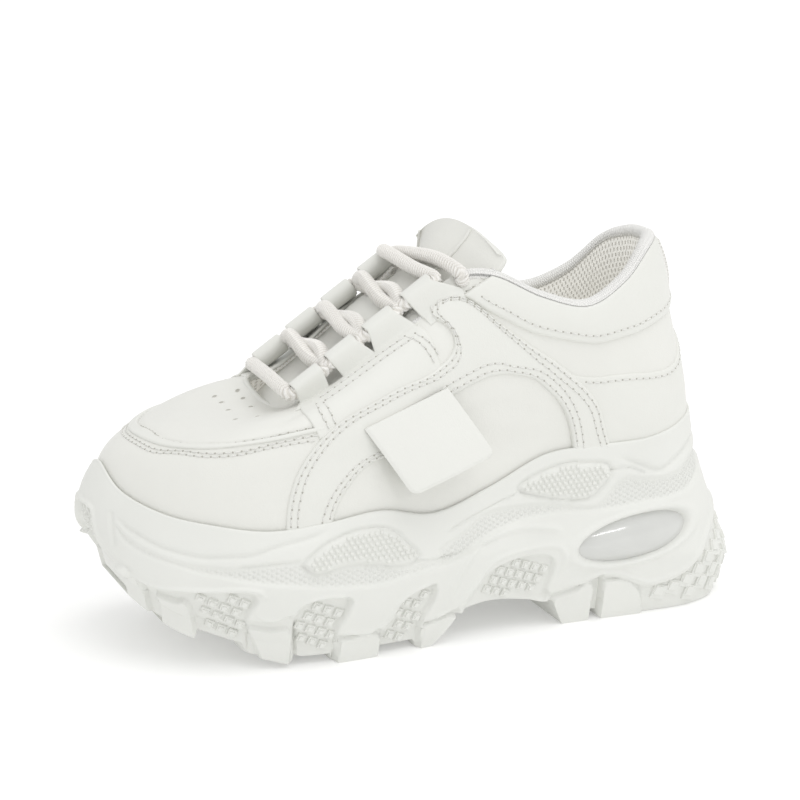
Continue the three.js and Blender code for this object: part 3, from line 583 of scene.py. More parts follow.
# ------------------------------------------------------------------ collar binding
# Fine knitted tape folded over the collar's edge from eyestay to eyestay and top-stitched. Round the front of the
# throat the leather itself is turned over as a roll.
knit_tape, surface, start, place = material("knit_tape", Specular_IOR_Level=0.2)
cloth = start.node("ShaderNodeUVMap", {"uv_map": "cloth"})
along = start.node("ShaderNodeSeparateXYZ", Vector=cloth)
up = Shade(along.tree, along.socket.node.outputs[1])
purl = along.math("SINE", along * (2 * np.pi / 0.95) + 1.2 * along.math("SINE", up * (2 * np.pi / 1.1)))
fuzz = start.node("ShaderNodeTexNoise", Vector=place, Scale=2600.0, Detail=2.0)
# The knit's loops are lighter and the gaps between them darker in colour: painted shade, on top of the same pattern in
# the bump; the noise adds random tone.
finish(surface, (purl * 0.3 + fuzz * 0.5 + 0.2).tint((0.85, 0.845, 0.82), (0.93, 0.925, 0.905)), 0.85 + fuzz * 0.1,
       purl * 0.6 + fuzz * 0.4, 0.00022)


def folded(middle, outwards, up, half, reach, sides=16):
    """Tape folded over an edge: an ellipse, half wide along outwards and reach along up, round each middle point."""
    angle = turns(sides)[None, :, None]
    sideways = half[:, None, None] * np.cos(angle) * outwards[:, None]
    body = middle[:, None] + sideways + reach * np.sin(angle) * up[:, None]
    tip = np.repeat(middle[[0, -1]][:, None], sides, 1)
    return np.concatenate([tip[:1], body, tip[1:]])


def tape_uv(points, gauge):
    """Length along and round a tube in millimetres, for its knit."""
    gone = gone_along(points.mean(1))
    return np.stack(np.broadcast_arrays(gone[:, None], np.arange(points.shape[1]) * gauge), -1).reshape(-1, 2)


def over_opening(ribs, lift, sink, spare, reach):
    """Roll over the edge of the opening along ribs, from lift outside the upper to its inner face and spare more."""
    out, within = upper(ribs, 1.0, lift), upper(ribs, 1.0, -wall(ribs, 1.0))
    upward = unit(last(ribs, 1.0) - last(ribs, 0.985))
    half = np.linalg.norm(out - within, axis=1) / 2 + spare
    return folded((out + within) / 2 - sink * upward, unit(out - within), upward, half, reach)


tape = over_opening(np.arange(7.05, 20.96, 1 / 30), 0.0, 1.0, 0.7, 2.6)
roll = over_opening(np.arange(-2.7, 2.71, 1 / 30), 0.2, 0.4, 0.3, 1.5)
made("throat_edge", [grid(roll)], white_panel, "leather")
made("collar_binding", [grid(tape)], knit_tape, "lining", uv=tape_uv(tape, 0.8))
row = line_on_upper([(u, 0.965, 0.55 if abs(u - 14) < 5.8 else 0.1) for u in np.linspace(7.3, 20.7, 30)])
made("binding_stitches", [scattered(thread_shape, *row)], thread, "lining")

# ------------------------------------------------------------------ tongue
# Padded leather tongue sewn in under the vamp. Its face is edged by piping near the top and by knitted tape at the
# sides, and a keeper strap is sewn across it between the third and fourth pairs of tabs.
TONGUE = [  # middle of the face: y, z, half its width, how far back and how far down its sides lie, its thickness
    (-68, 89.5, 17, 2, 0, 2), (-60, 95, 22, 2.5, 0, 2.5), (-50, 102.5, 25, 3, 0, 3), (-36, 113.8, 26, 4, 0, 4),
    (-20, 126.6, 27, 5.5, 0, 5), (-6, 137.6, 27, 8, 0, 6), (4, 146, 26, 11.5, 1, 7), (9.5, 152.5, 26, 10, 3, 7),
    (12.5, 157, 25.5, 8, 6, 6), (13.6, 158.9, 24, 6, 8.5, 3),
]
table, gone = curve(TONGUE, 1.2, (1, 1, 0, 0, 0, 0))


def tongue(w, depth, lift=0.0):
    """Point on each of the tongue's sections: w across it from -1 to 1, depth 0 on its face and 1 on its back. The
    sides lie back and down as w squared, the top is turned a little outwards, and the pad thins to a rounded edge."""
    y, z, half, crown, fall, thick = (c[:, None] for c in table.T)
    slope = unit(np.gradient(table[:, :2], axis=0))[:, None]
    puff = 0.8 * (1 - w**2) * np.sin(gone / gone[-1] * 9)[:, None] ** 2
    sink = crown * w**2 + depth * thick * np.sqrt(np.clip(1 - w**6, 0, 1)) - (1 - depth) * puff - lift
    drop = fall * w**2
    twist = 0.3 * half * w * smooth(135, 159, z)
    back = y + twist + slope[..., 1] * sink - slope[..., 0] * drop
    return np.stack([half * w, back, z - slope[..., 0] * sink - slope[..., 1] * drop], -1)


w = np.sin(np.linspace(-np.pi / 2, np.pi / 2, 41))[None]
made("tongue_pad", [sheet(tongue(w, 0.0), tongue(w, 1.0))], white_leather, "leather", ["tongue"])
high = table[:, 1]  # height of each section
for name, shares, radius, low, top, made_from, slot in (
    ("piping", (0.42, -0.85), 0.7, 134, 158.5, white_leather, "leather"),
    ("tape", (0.985, -0.985), 1.2, 120, 151, knit_tape, "lining"),
):
    tubes, uvs = [], []
    for share in shares:
        middle = tongue(np.array([[share]]), 0.0, 0.3)[:, 0][(high > low) & (high < top)]
        forward = unit(np.gradient(middle, axis=0))
        outwards = unit(np.cross(forward, [0, 0.8, 0.6]))
        tube = folded(middle, outwards, np.cross(outwards, forward), np.full(len(middle), radius), radius)
        tubes.append(grid(tube))
        uvs.append(tape_uv(tube, 0.6))
    made(f"tongue_{name}", tubes, made_from, slot, uv=np.vstack(uvs))
keep = (high > 119) & (high < 128)
across = np.linspace(-0.86, 0.86, 30)[None]
made("tongue_keeper", [sheet(tongue(across, 0.0, 1.3)[keep], tongue(across, 0.0, 0.1)[keep])], white_panel, "leather")

# ------------------------------------------------------------------ lace tabs
# A strip of leather for each: it runs up off the eyestay, wraps the lace and is tucked back under and sewn down.
SLOPE = np.radians(34)
LOOPS = [(-54.5, 105, 22.5), (-40.5, 115, 22.5), (-25.5, 125, 23), (-10, 136, 23)]  # y, z, half the gap across
TAILS = [2.85, 4.3, 5.35, 6.6]  # ribs at which they leave the eyestay
MEDIAL_RISE = 1.8  # the inner tabs stand higher
TAB_WIDE, TAB_THICK, TAB_COLUMNS = 13, 1.2, 13
LACE = 5.3
uphill, off = np.array([0, np.cos(SLOPE), np.sin(SLOPE)]), np.array([0, -np.sin(SLOPE), np.cos(SLOPE)])


def loop_centre(k, side):
    """Middle of the tunnel of tab k."""
    y, z, half = LOOPS[k]
    return np.array([side * half, y, z + (MEDIAL_RISE if side < 0 else 0)])


tabs = []
for side in (1, -1):
    for k, rib in enumerate(TAILS):
        centre, sideways = loop_centre(k, side), np.array([side, 0, 0])
        wide = TAB_WIDE / 2 * np.sin(np.linspace(-np.pi / 2, np.pi / 2, TAB_COLUMNS))[:, None]
        tail = []
        for ahead, v, lift in ((0.22, 0.8, -0.2), (0.1, 0.86, 0.3), (0, 0.91, 0.7)):
            u = rib + ahead + wide[:, 0] / 12.5
            tail.append(upper(u if side > 0 else RIBS - u, v, lift))
        turn = np.radians([25, 55, 85, 115, 145, 175, 205, 235, 260])
        ring = [centre + 3.6 * np.cos(t) * sideways + 3.35 * np.sin(t) * off + wide * uphill for t in turn]
        path = np.array(tail + ring)  # (along the strip, across it, xyz)
        fine = curve(path.reshape(len(path), -1), 0.7, 1 / np.sqrt(TAB_COLUMNS))[0].reshape(-1, TAB_COLUMNS, 3)
        normal = unit(np.cross(np.gradient(fine, axis=0), np.gradient(fine, axis=1)))
        half = TAB_THICK / 2 * rounded((TAB_WIDE / 2 - np.abs(wide)) / (TAB_THICK / 2))[None]
        tabs.append(sheet(fine + half * normal, fine - half * normal))
made("lace_tabs", tabs, white_panel, "leather",
     [f"lace_loop_{name}_{k}" for name in ("lateral", "medial") for k in (1, 2, 3, 4)])

# ------------------------------------------------------------------ lace
# One round braided lace, 5.3 thick. From the punched hole on each side it crosses the tongue through every tab to
# the straight bar in front, and its ends lie inside, at the holes.
lace_braid, surface, start, place = material("lace_braid", Specular_IOR_Level=0.2, Sheen_Weight=0.15)
fuzz = start.node("ShaderNodeTexNoise", Vector=place, Scale=2400.0, Detail=3.0)
yarn = start.node("ShaderNodeTexWave", {"bands_direction": "DIAGONAL"}, Vector=place, Scale=620.0, Distortion=3.0)
ridge = start.node("ShaderNodeAttribute", {"attribute_name": "relief_and_shade"}, 2)
# The braid's ribs are light and the grooves between them dark in colour: painted shade, read from the rib heights
# stored on the mesh.
finish(surface, (fuzz * 0.2 + yarn * 0.1 + ridge * 0.75).tint((0.7, 0.67, 0.615), (0.95, 0.94, 0.915)),
       0.82 + fuzz * 0.1, fuzz + 0.5 * yarn, 0.00018)


def mouth(k, side, end):
    """Middle of the lace just outside the front (end -1) or back (end 1) of a tab's tunnel."""
    return loop_centre(k, side) + end * 8.2 * uphill


def over_edge(side, v, lift):
    """Middle of the lace above the eyestay at the punched hole's rib."""
    return upper(7.2 if side > 0 else RIBS - 6.8, v, lift)


def half_lace(side):
    """Points of the lace from the punched hole on one side down to the mouth of the first tab it ends at."""
    points = [over_edge(side, 0.955, -5.5), over_edge(side, 0.955, 0.0), over_edge(side, 0.985, 3.1)]
    for k in (3, 2, 1, 0):
        side = -side
        # Beside each other over the outer half of the tongue; the one that ends on the inner side dives under.
        here, there = points[-1], mouth(k, side, 1)
        if k == 3:
            bends = ((0.2, -2.0, 6.5), (0.7, -1.4, 3.0)) if side > 0 else ((0.3, 1.0, 3.4), (0.72, 0.6, 2.4))
        else:
            bends = ((0.28, 0.0, 4.4), (0.72, -1.4, 1.9)) if side > 0 else ((0.28, 3.4, 2.0), (0.72, 1.6, -0.4))
        for share, ahead, lift in bends:
            points.append(here * (1 - share) + there * share + ahead * uphill + lift * off)
        tunnel = loop_centre(k, side)
        points += [there, tunnel + 2.5 * uphill, tunnel - 2.5 * uphill, mouth(k, side, -1)]
    return points


bar = [mouth(0, side, -1) + (-side * 3.5, -1.4, 1.0) for side in (1, -1)]
middle_of_bar = (bar[0] + bar[1]) / 2 + 1.2 * off
path = half_lace(1) + [bar[0], middle_of_bar, bar[1]] + half_lace(-1)[::-1]
middle, gone = curve(path, 0.3)
for _ in range(3):  # a rope turns in soft bends
    middle[4:-4] = (middle[:-8] + 2 * middle[2:-6] + 3 * middle[4:-4] + 2 * middle[6:-2] + middle[8:]) / 9
forward = unit(np.gradient(middle, axis=0))
sidewards = unit(np.cross(forward, off))
upward = np.cross(sidewards, forward)
angle = turns(20)[None]
# The braid shows as ribs nearly square to the lace, 1.5 apart, that lean one way on one side and back on the other.
lean = 0.9 * np.abs((2 * angle / np.pi) % 2 - 1)
strand = np.cos(2 * np.pi * (gone[:, None] / 1.5 + lean))
radius = (LACE / 2 * (0.97 + 0.12 * strand + 0.02 * np.cos(8 * angle)))[..., None]
round_it = np.cos(angle)[..., None] * sidewards[:, None] + np.sin(angle)[..., None] * upward[:, None]
tips = np.repeat(middle[[0, -1]][:, None], angle.size, 1)
# The rib heights are stored on the mesh for the painted shade in the lace's grooves.
made("lace", [grid(np.concatenate([tips[:1], middle[:, None] + radius * round_it, tips[1:]]))], lace_braid, "lace",
     ["lace_bar"] + [f"lace_crossing_{k}" for k in (1, 2, 3, 4)],
     marks=np.pad(strand, ((1, 1), (0, 0)), "edge").ravel() / 2 + 0.5)

# ------------------------------------------------------------------ tag on the outer side
# Flat tag of smooth coated leather, caught in the strap's seam at its top edge. It hangs free, bowed outwards.
white_tag = leather("tag_leather", (0.78, 0.785, 0.745), (0.75, 0.75, 0.715), 0.42)
TOP_FRONT, TOP_BACK, BOTTOM_FRONT = np.array([(46.6, -41, 91), (42.7, -5.5, 103), (52.7, -24, 65)])
TAG_WIDE, TAG_HIGH, TAG_LEAN, TAG_THICK = 37, 31, 7, 1.2
across = unit(TOP_BACK - TOP_FRONT)
outwards = -unit(np.cross(across, BOTTOM_FRONT - TOP_FRONT))
down = unit(np.cross(across, outwards))
down *= np.sign(-down[2])
s, t = np.meshgrid(np.linspace(0, 1, 40), np.linspace(0, 1, 36))
# Rows near the bottom edge are drawn in along a quarter circle, so that its two corners are round.
corner = 3.2 * (1 - np.sqrt(np.clip(1 - np.clip((t * TAG_HIGH - 27.5) / 3.5, 0, 1) ** 2, 0, 1)))
x = TAG_LEAN * t + corner + (TAG_WIDE - 2 * corner) * s
bow = 1.1 * np.sin(np.pi * s) * t + 0.6 * np.sin(2.4 * t) + 0.5 * t * s
face = TOP_FRONT + x[..., None] * across + (TAG_HIGH * t)[..., None] * down + bow[..., None] * outwards
rim = TAG_THICK / 2 * rounded(np.minimum(np.minimum(s, 1 - s) * TAG_WIDE, (1 - t) * TAG_HIGH) / 0.7)[..., None]
made("tag", [sheet(face + rim * outwards, face - rim * outwards)], white_tag, "tag", ["side_tag"])

# ------------------------------------------------------------------ heel tape and stay
# A ribbed webbing pull tape sewn over the back of the collar, and below it a narrow leather stay over the seam.
webbing, surface, start, place = material("webbing", Specular_IOR_Level=0.25)
parts = start.node("ShaderNodeSeparateXYZ", Vector=place)
up = Shade(parts.tree, parts.socket.node.outputs[2])
rib = parts.math("SINE", up * (2 * np.pi / 0.0016))
weft = parts.math("SINE", parts * (2 * np.pi / 0.0009))
fuzz = start.node("ShaderNodeTexNoise", Vector=place, Scale=2600.0, Detail=2.0)
# The ribs' grooves are darker in colour: painted shade, on top of the same ribs in the bump.
finish(surface, (rib * 0.3 + fuzz * 0.4 + 0.3).tint((0.74, 0.73, 0.69), (0.88, 0.87, 0.84)), 0.8 + fuzz * 0.1,
       rib * 0.7 + weft * 0.3 + fuzz * 0.2, 0.0003)


def heel_strip(v0, v1, wide, thick, stand):
    """Strip up the middle of the heel between two shares: it stands off by stand times a half sine of its length.
    wide is counted at 20 to a rib, where a rib is really about 13, so the strip comes out about 0.63 times as wide."""
    share = np.linspace(0, 1, 50)[:, None]
    x = np.linspace(-wide / 2, wide / 2, 16)[None]
    u = 14 - x / 20
    face = upper(u, v0 + (v1 - v0) * share, 0.7 + stand * np.sin(np.pi * share))
    edge = rounded(np.minimum(wide / 2 - np.abs(x), 25 * np.minimum(share, 1 - share)) / 1.0)[..., None]
    normal = np.array([0, 1.0, 0])
    return sheet(face + edge * thick * normal, face - 0.2 * normal)


made("pull_tape", [heel_strip(0.97, 0.7, 16, 1.8, 1.6)], webbing, "webbing", ["pull_loop"])
made("back_stay", [heel_strip(0.68, 0.3, 14, 0.9, 0.0)], white_panel, "leather", ["heel_stay"])

# ------------------------------------------------------------------ midsole
# One moulded foam cup with a rubbery skin. Its side is sculpted: a roll at the rim, bands with a fine cell texture,
# dotted pods, a strut over the arch and a thin flange above the lugs. Troughs and ridges are placed by rib and height.
GAP, LIP = 0.3, 1.6


def last_at(u, z):
    """Where the upper's outer face passes height z, by halving the share v."""
    low, high = np.zeros(np.shape(u)), np.full(np.shape(u), 0.6)
    for _ in range(24):
        v = (low + high) / 2
        below = last(u, v)[..., 2] < z
        low, high = np.where(below, v, low), np.where(below, high, v)
    return last(u, low)


def cup(u, out, up):
    """Wall of the cup that holds the upper: out outside it, at a share up of the way from the bed to the rim."""
    z = at(SOLE["bed"], u) * (1 - up) + at(SOLE["rim"], u) * up
    p = last_at(u, z) + out * (outline(u, 1, 0) - outline(u, 0, 0))
    p[..., 2] = z
    return p


fine_ribs = np.arange(0, RIBS, 1 / 12)
RIM = cup(fine_ribs, GAP + LIP, 1.0).T


def side_face(u, z):
    """Plain side of the sole at height z. From the rim to the widest line it swells out, round at the toe and nearly
    straight at the heel; below that it is drawn in by a power 1.6; the tread under it tapers by 2."""
    u, z = np.broadcast_arrays(np.asarray(u, float), np.asarray(z, float))
    rim, wide, low, tread, skirt = (at(SOLE[k], u) for k in ("rim", "wide", "low", "tread", "skirt"))
    t = np.clip((rim - z) / (rim - wide), 0, 1)
    blend = smooth(1, 10, folded_rib(u))
    plan = ((1 - (1 - t) ** 2.2) * (1 - blend) + t**1.25 * blend)[..., None]
    top = np.stack([at(RIM[0], u * 12), at(RIM[1], u * 12), z], -1)
    above = top * (1 - plan) + outline(u, 0, z) * plan
    inwards = skirt * np.clip((wide - z) / (wide - low), 0, 1) ** 1.6 + 2 * np.clip((low - z) / (low - tread), 0, 1)
    point = np.where((z >= wide)[..., None], above, outline(u, -inwards, z))
    point[..., 2] = z
    return point


ruled = np.arange(-20, 181) / 10  # ribs at which distances from the toe are ruled off, past the toe and the heel
arc = gone_along(outline(ruled, 0, 0))
arc -= np.interp(0, ruled, arc)


def unrolled(u, z):
    """Place on the unrolled side: distance from the toe along the outline, and height."""
    return np.stack(np.broadcast_arrays(np.interp(u, ruled, arc), z), -1)


def beside(place, rows, closed=False):
    """Signed distance from a line through rows of (rib, height) on the unrolled side, above it or inside it counted
    as positive, and the share of the line at the nearest point. Far from the line both are left at -99 and 0."""
    line = unrolled(*np.array(rows, float).T)
    line = curve(np.vstack([line, line[:1]]) if closed else line, 2.5)[0]
    if closed:
        line[-1] = line[0]
    flat = place.reshape(-1, 2)
    result, share = np.full(len(flat), -99.0), np.zeros(len(flat))
    near = ((flat > line.min(0) - 7) & (flat < line.max(0) + 7)).all(1)
    p, a, b = flat[near][:, None], line[:-1], line[1:]
    t = np.clip(((p - a) * (b - a)).sum(-1) / ((b - a) ** 2).sum(-1), 0, 1)
    gap = np.linalg.norm(p - a - t[..., None] * (b - a), axis=-1)
    k = gap.argmin(1)
    row = np.arange(len(k))
    turn = (b - a)[k]
    rel = p[:, 0] - a[k]
    sign = np.sign(turn[:, 0] * rel[:, 1] - turn[:, 1] * rel[:, 0])
    if closed:
        crosses = (a[:, 1] > p[..., 1]) != (b[:, 1] > p[..., 1])
        rise_of = np.where(b[:, 1] == a[:, 1], 1, b[:, 1] - a[:, 1])
        crosses &= p[..., 0] < (b[:, 0] - a[:, 0]) * (p[..., 1] - a[:, 1]) / rise_of + a[:, 0]
        sign = np.where(crosses.sum(1) % 2, 1, -1)
    result[near], share[near] = sign * gap[row, k], (k + t[row, k]) / len(a)
    return result.reshape(place.shape[:-1]), share.reshape(place.shape[:-1])


# Lines as (rib, height). Grooves and creases: line, depth, half width. They fade at both ends, except where they run
# on round the toe or the back of the heel.
GROOVES = [
    ([(1.0, 59), (1.3, 55.5), (1.6, 53), (2.0, 50), (2.4, 48), (2.8, 46.5), (3.2, 46.5), (3.7, 47), (4.2, 50),
      (4.7, 52), (5.1, 55)], 0.9, 1.0),
    ([(3.4, 42.5), (4.0, 43.5), (4.6, 44)], 0.8, 0.55),
    ([(6.5, 38), (6.9, 37), (7.3, 37.5)], 0.8, 0.5),
    ([(7.1, 46), (7.7, 51), (8.2, 55), (8.6, 57.5)], 0.7, 0.45),
    ([(10.1, 61.5), (10.5, 62), (10.9, 58.5)], 0.8, 0.5),
    ([(10.2, 68), (10.8, 62), (11.2, 59), (11.6, 62), (12.0, 65), (12.6, 69), (13.3, 72), (14.4, 73)], 1.1, 1.1),
    ([(0.95, 60), (1.05, 54), (1.15, 47)], 0.7, 1.1),
]
# Ridges: line, height, half width.
RIDGES = [
    ([(-0.4, 59.5), (0.4, 59), (0.55, 55), (0.65, 50), (0.8, 45.5), (1.0, 42), (1.3, 39), (1.6, 36), (2.0, 34.3),
      (2.5, 34), (3.0, 34), (3.6, 34.3), (3.9, 32.5), (3.82, 29), (3.7, 25)], 1.0, 0.9),
    ([(3.7, 25.5), (3.85, 22.3), (4.1, 21.3), (4.4, 22.3), (4.5, 25), (4.7, 28), (5.0, 29.2), (5.4, 28.3)], 0.5, 0.9),
    ([(5.3, 14), (5.5, 12.2), (5.8, 11.6), (6.0, 12.8), (6.15, 16), (6.28, 22), (6.5, 25.5), (6.9, 28)], 0.5, 0.9),
    ([(7.0, 12.5), (7.4, 14.5)], 0.5, 0.9),
    ([(7.25, 17), (7.3, 26), (7.5, 34), (7.9, 41), (8.5, 43.5), (9.1, 41.3), (9.3, 38.5)], 0.8, 1.3),
    ([(7.4, 14), (7.75, 25), (8.0, 32), (8.5, 34.3), (9.1, 34.3), (9.3, 30), (9.2, 20)], 0.7, 1.0),
    ([(9.2, 15.5), (9.7, 18.5), (10.0, 20.5), (10.3, 19.5), (10.7, 15.5), (11.0, 13.5), (11.6, 16.5), (12.0, 22),
      (12.4, 30), (12.9, 35), (13.5, 38), (14.4, 38.5)], 0.9, 1.1),
]
# Sunk or raised fields: outline, height inside it, softness of its edge.
BAND = [(1.12, 55), (1.4, 51.5), (1.8, 48), (2.3, 45), (2.8, 43.3), (3.4, 42.5), (4.0, 43.3), (4.55, 43),
        (4.8, 38.6), (5.3, 40), (5.8, 39.3), (6.4, 36.3), (6.9, 36.6), (7.4, 38), (8.1, 40.5), (7.3, 36), (6.9, 34),
        (6.4, 32.5), (5.9, 31), (5.4, 31.8), (4.9, 33), (4.3, 35), (3.7, 36.8), (3.2, 39), (2.7, 41), (2.3, 43.5),
        (1.9, 45.3), (1.6, 47.2), (1.3, 50.3)]
HEEL_BAND = [(7.0, 40.5), (7.5, 45.5), (7.9, 51), (8.5, 52), (9.1, 51), (9.7, 48.3), (10.0, 49), (10.2, 54),
             (10.45, 58), (10.8, 57), (11.3, 56), (11.8, 58), (12.4, 63), (13.2, 67), (15, 68), (15, 58), (13.2, 57),
             (12.5, 53), (12.0, 49), (11.4, 47.3), (10.8, 47), (10.2, 46), (9.6, 46.8), (9.1, 47.2), (8.5, 46),
             (7.9, 42), (7.4, 36.5), (7.05, 35)]
POD_FRONT = [(4.6, 42.3), (4.82, 39.2), (5.3, 40.8), (5.75, 40.2), (6.35, 37.4), (6.6, 39.5), (6.45, 44), (6.2, 50),
             (5.9, 52.3), (5.5, 52.3), (5.05, 49.3), (4.75, 45)]
POD_BACK = [(8.5, 58.6), (8.62, 60.8), (8.95, 63.8), (9.38, 66), (9.7, 65.4), (10.1, 64), (10.16, 60), (10.0, 56),
            (9.8, 52.5), (9.5, 52.2), (9.05, 54), (8.62, 57)]
BELOW = -12  # a height under every part of the sole, where open fields end
UNDER_FLANGE = [(-1, 58.3), (0.35, 57.6), (0.55, 50), (0.8, 44.3), (1.05, 40.5), (1.4, 37), (1.75, 34.5), (2.2, 33),
                (3.0, 32.8), (3.55, 32.8), (3.78, 31), (3.72, 27), (3.58, 20), (3.55, BELOW), (-1, BELOW)]
POCKET_2 = [(4.45, 20), (4.5, 23.5), (4.62, 26.5), (4.9, 28), (5.35, 27.6), (5.43, 25.5), (5.33, 19), (5.22, 13),
            (5.22, BELOW), (4.45, BELOW)]
POCKET_3 = [(6.05, 11), (6.2, 15), (6.33, 21.5), (6.55, 24.8), (6.88, 26.8), (6.94, 24.5), (6.9, 19), (6.75, 11),
            (6.72, BELOW), (6.05, BELOW)]
ARCH_POCKET = [(7.85, 25), (8.08, 28.8), (8.55, 31.3), (9.0, 30.2), (9.12, 26), (9.0, 17), (8.95, 12), (7.6, 11)]
FIELDS = [
    (BAND, -0.8, 0.9), (HEEL_BAND, -1.0, 0.9), (POD_FRONT, 0.5, 0.7), (POD_BACK, 0.5, 0.7),
    (UNDER_FLANGE, -2.2, 1.0), (POCKET_2, -2.6, 0.7), (POCKET_3, -2.6, 0.7), (ARCH_POCKET, -1.8, 0.8),
    ([(3.6, 21), (3.85, 20.6), (4.1, 19.9), (4.45, 20.6), (4.45, BELOW), (3.6, BELOW)], -1.4, 0.7),
    ([(5.25, 11.8), (5.5, 10.8), (5.8, 10.2), (6.03, 11), (6.03, BELOW), (5.25, BELOW)], -1.4, 0.7),
    ([(6.8, 11), (7.0, 11), (7.45, 13), (7.45, BELOW), (6.8, BELOW)], -1.4, 0.7),
    ([(9.1, 13.5), (9.7, 16.5), (10.0, 18.5), (10.3, 17.3), (10.7, 13.3), (11.0, 11.5), (11.6, 14.2), (12.0, 20),
      (12.45, 28), (13.0, 33), (13.6, 36), (15, 37), (15, BELOW), (9.1, BELOW)], -1.3, 0.7),
    ([(1.0, 39.5), (1.5, 35.5), (1.55, BELOW), (1.02, BELOW)], 2.1, 0.5),
    ([(1.88, 30), (2.3, 28), (2.55, 25.5), (2.6, BELOW), (1.92, BELOW)], 2.3, 0.5),
    ([(3.6, 18.5), (4.0, 16.5), (4.42, 14.5), (4.42, BELOW), (3.62, BELOW)], 1.7, 0.45),
    ([(5.3, 9.5), (6.0, 8.8), (6.0, BELOW), (5.32, BELOW)], 1.7, 0.45),
    ([(6.8, 9.5), (7.42, 10.6), (7.42, BELOW), (6.82, BELOW)], 1.7, 0.45),
    ([(9.15, 11.5), (9.5, 13.5), (9.85, 15.5), (9.8, BELOW), (9.15, BELOW)], 1.6, 0.45),
    ([(9.87, 17), (10.02, 18), (10.02, BELOW), (9.85, BELOW)], -2.0, 0.45),
    ([(10.06, 16.5), (10.45, 15.8), (10.8, 8.5), (10.82, BELOW), (10.08, BELOW)], 1.6, 0.45),
]
WINDOW = {"y": 76.5, "z": 33.6, "half": 25.6, "high": 8.9, "slope": np.radians(8)}


def in_window(y, z):
    """Place in the insert's ellipse, as shares of its half axes along and across its slope."""
    c, s = np.cos(WINDOW["slope"]), np.sin(WINDOW["slope"])
    dy, dz = y - WINDOW["y"], z - WINDOW["z"]
    return (c * dy + s * dz) / WINDOW["half"], (c * dz - s * dy) / WINDOW["high"]


def sculpture(u, z):
    """Height of the side above its plain face, in millimetres, and how much of it carries the cell texture. It is
    the sum of bells along the grooves and ridges and of fields with S-shaped edges."""
    place, plain = unrolled(folded_rib(u), z), side_face(u, z)
    height = np.zeros(place.shape[:-1])
    for rows, size, wide in [(r, -d, w) for r, d, w in GROOVES] + RIDGES:
        d, share = beside(place, rows)
        fade_in = smooth(0, 0.12, share) if rows[0][0] > 0 else 1
        fade_out = 1 - smooth(0.9, 1, share) * (rows[-1][0] < 13.9)
        height += size * np.exp(-((d / wide) ** 2)) * fade_in * fade_out
    for rows, size, soft in FIELDS:
        height += size * smooth(-soft, soft, beside(place, rows, True)[0])
    for pod in (POD_FRONT, POD_BACK):
        height -= 0.9 * np.exp(-(((beside(place, pod, True)[0] + 0.5) / 0.8) ** 2))
    p, q = in_window(plain[..., 1], z)
    edge = (np.hypot(p, q) - 1) * 8.5  # about how far outside the insert's rim
    height += np.where(np.abs(p) < 1.6, 0.9 * np.exp(-(((edge - 1.1) / 0.9) ** 2)), 0)
    height -= 3.4 * (1 - smooth(-0.9, 0.4, edge))
    texture = sum(smooth(0.2, 2.0, beside(place, rows, True)[0]) for rows in (BAND, HEEL_BAND))
    return height * (1 - smooth(-2.5, -0.5, z - at(SOLE["rim"], u))), np.clip(texture, 0, 1)


def side_normal(u, z):
    """Outward normal of the plain side."""
    forwards, upwards = side_face(u + 0.03, z) - side_face(u - 0.03, z), side_face(u, z + 0.4) - side_face(u, z - 0.4)
    return unit(np.cross(forwards, upwards))


def moulded(u, z, lift=0.0):
    """Point on the sculptured side, lift above it."""
    u, z = np.broadcast_arrays(np.asarray(u, float), np.asarray(z, float))
    return side_face(u, z) + (sculpture(u, z)[0] + lift)[..., None] * side_normal(u, z)


moulded_foam, surface, start, place = material("moulded_foam", Specular_IOR_Level=0.38)
skin = start.node("ShaderNodeTexNoise", Vector=place, Scale=1500.0, Detail=3.0, Roughness=0.6)
slow = start.node("ShaderNodeTexNoise", Vector=place, Scale=45.0, Detail=3.0)
along = start.node("ShaderNodeSeparateXYZ", Vector=start.node("ShaderNodeUVMap", {"uv_map": "cloth"}))
up = Shade(along.tree, along.socket.node.outputs[1])
relief_and_shade = start.node("ShaderNodeAttribute", {"attribute_name": "relief_and_shade"}, 2)
# Three waves 60 degrees apart add up to a honeycomb of cells 2 apart.
waves = [along.math("COSINE", 3.6 * (c * along + s * up)) for c, s in ((1.0, 0.0), (0.5, 0.866), (-0.5, 0.866))]
pillow = (waves[0] + waves[1] + waves[2]) * relief_and_shade
# The cells' tops come out a little lighter than their hollows: slight painted shade, with the slow noise's random tone.
finish(surface, (slow * 0.8 + skin * 0.2 + pillow * 0.05).tint((0.72, 0.725, 0.69), (0.785, 0.79, 0.755)),
       0.5 + skin * 0.14, skin * 0.3 + pillow * 0.75 + slow * 0.6, 0.00012)

many = np.linspace(0, RIBS, 2001)
even = gone_along(outline(many, 0, 0))
around = np.interp(np.linspace(0, even[-1], 880, endpoint=False), even, many)  # columns evenly spaced round the sole
down = np.linspace(0, 1, 92)[:, None]
z = at(SOLE["rim"], around) * (1 - down) + at(SOLE["low"], around) * down
side_points = moulded(around, z)
texture = sculpture(around, z)[1]
top_in, top_out = cup(around, GAP, 1.0), side_points[0]
lip = [top_in * (1 - s) + top_out * s + np.array([0, 0, 0.9]) * np.sin(np.pi * s) ** 0.6
       for s in (0.12, 0.35, 0.65, 0.88)]
cup_in = [cup(around, GAP, up) for up in (0.0, 0.4, 0.8)]


def centred(ring, share):
    """A ring round the sole moved a share of the way to its middle line, half way to the mirrored rib."""
    ribs = np.append(around, RIBS)
    mirrored = np.stack([np.interp((RIBS - around) % RIBS, ribs, np.append(c, c[0])) for c in ring.T], -1)
    return ring + share / 2 * (mirrored - ring)


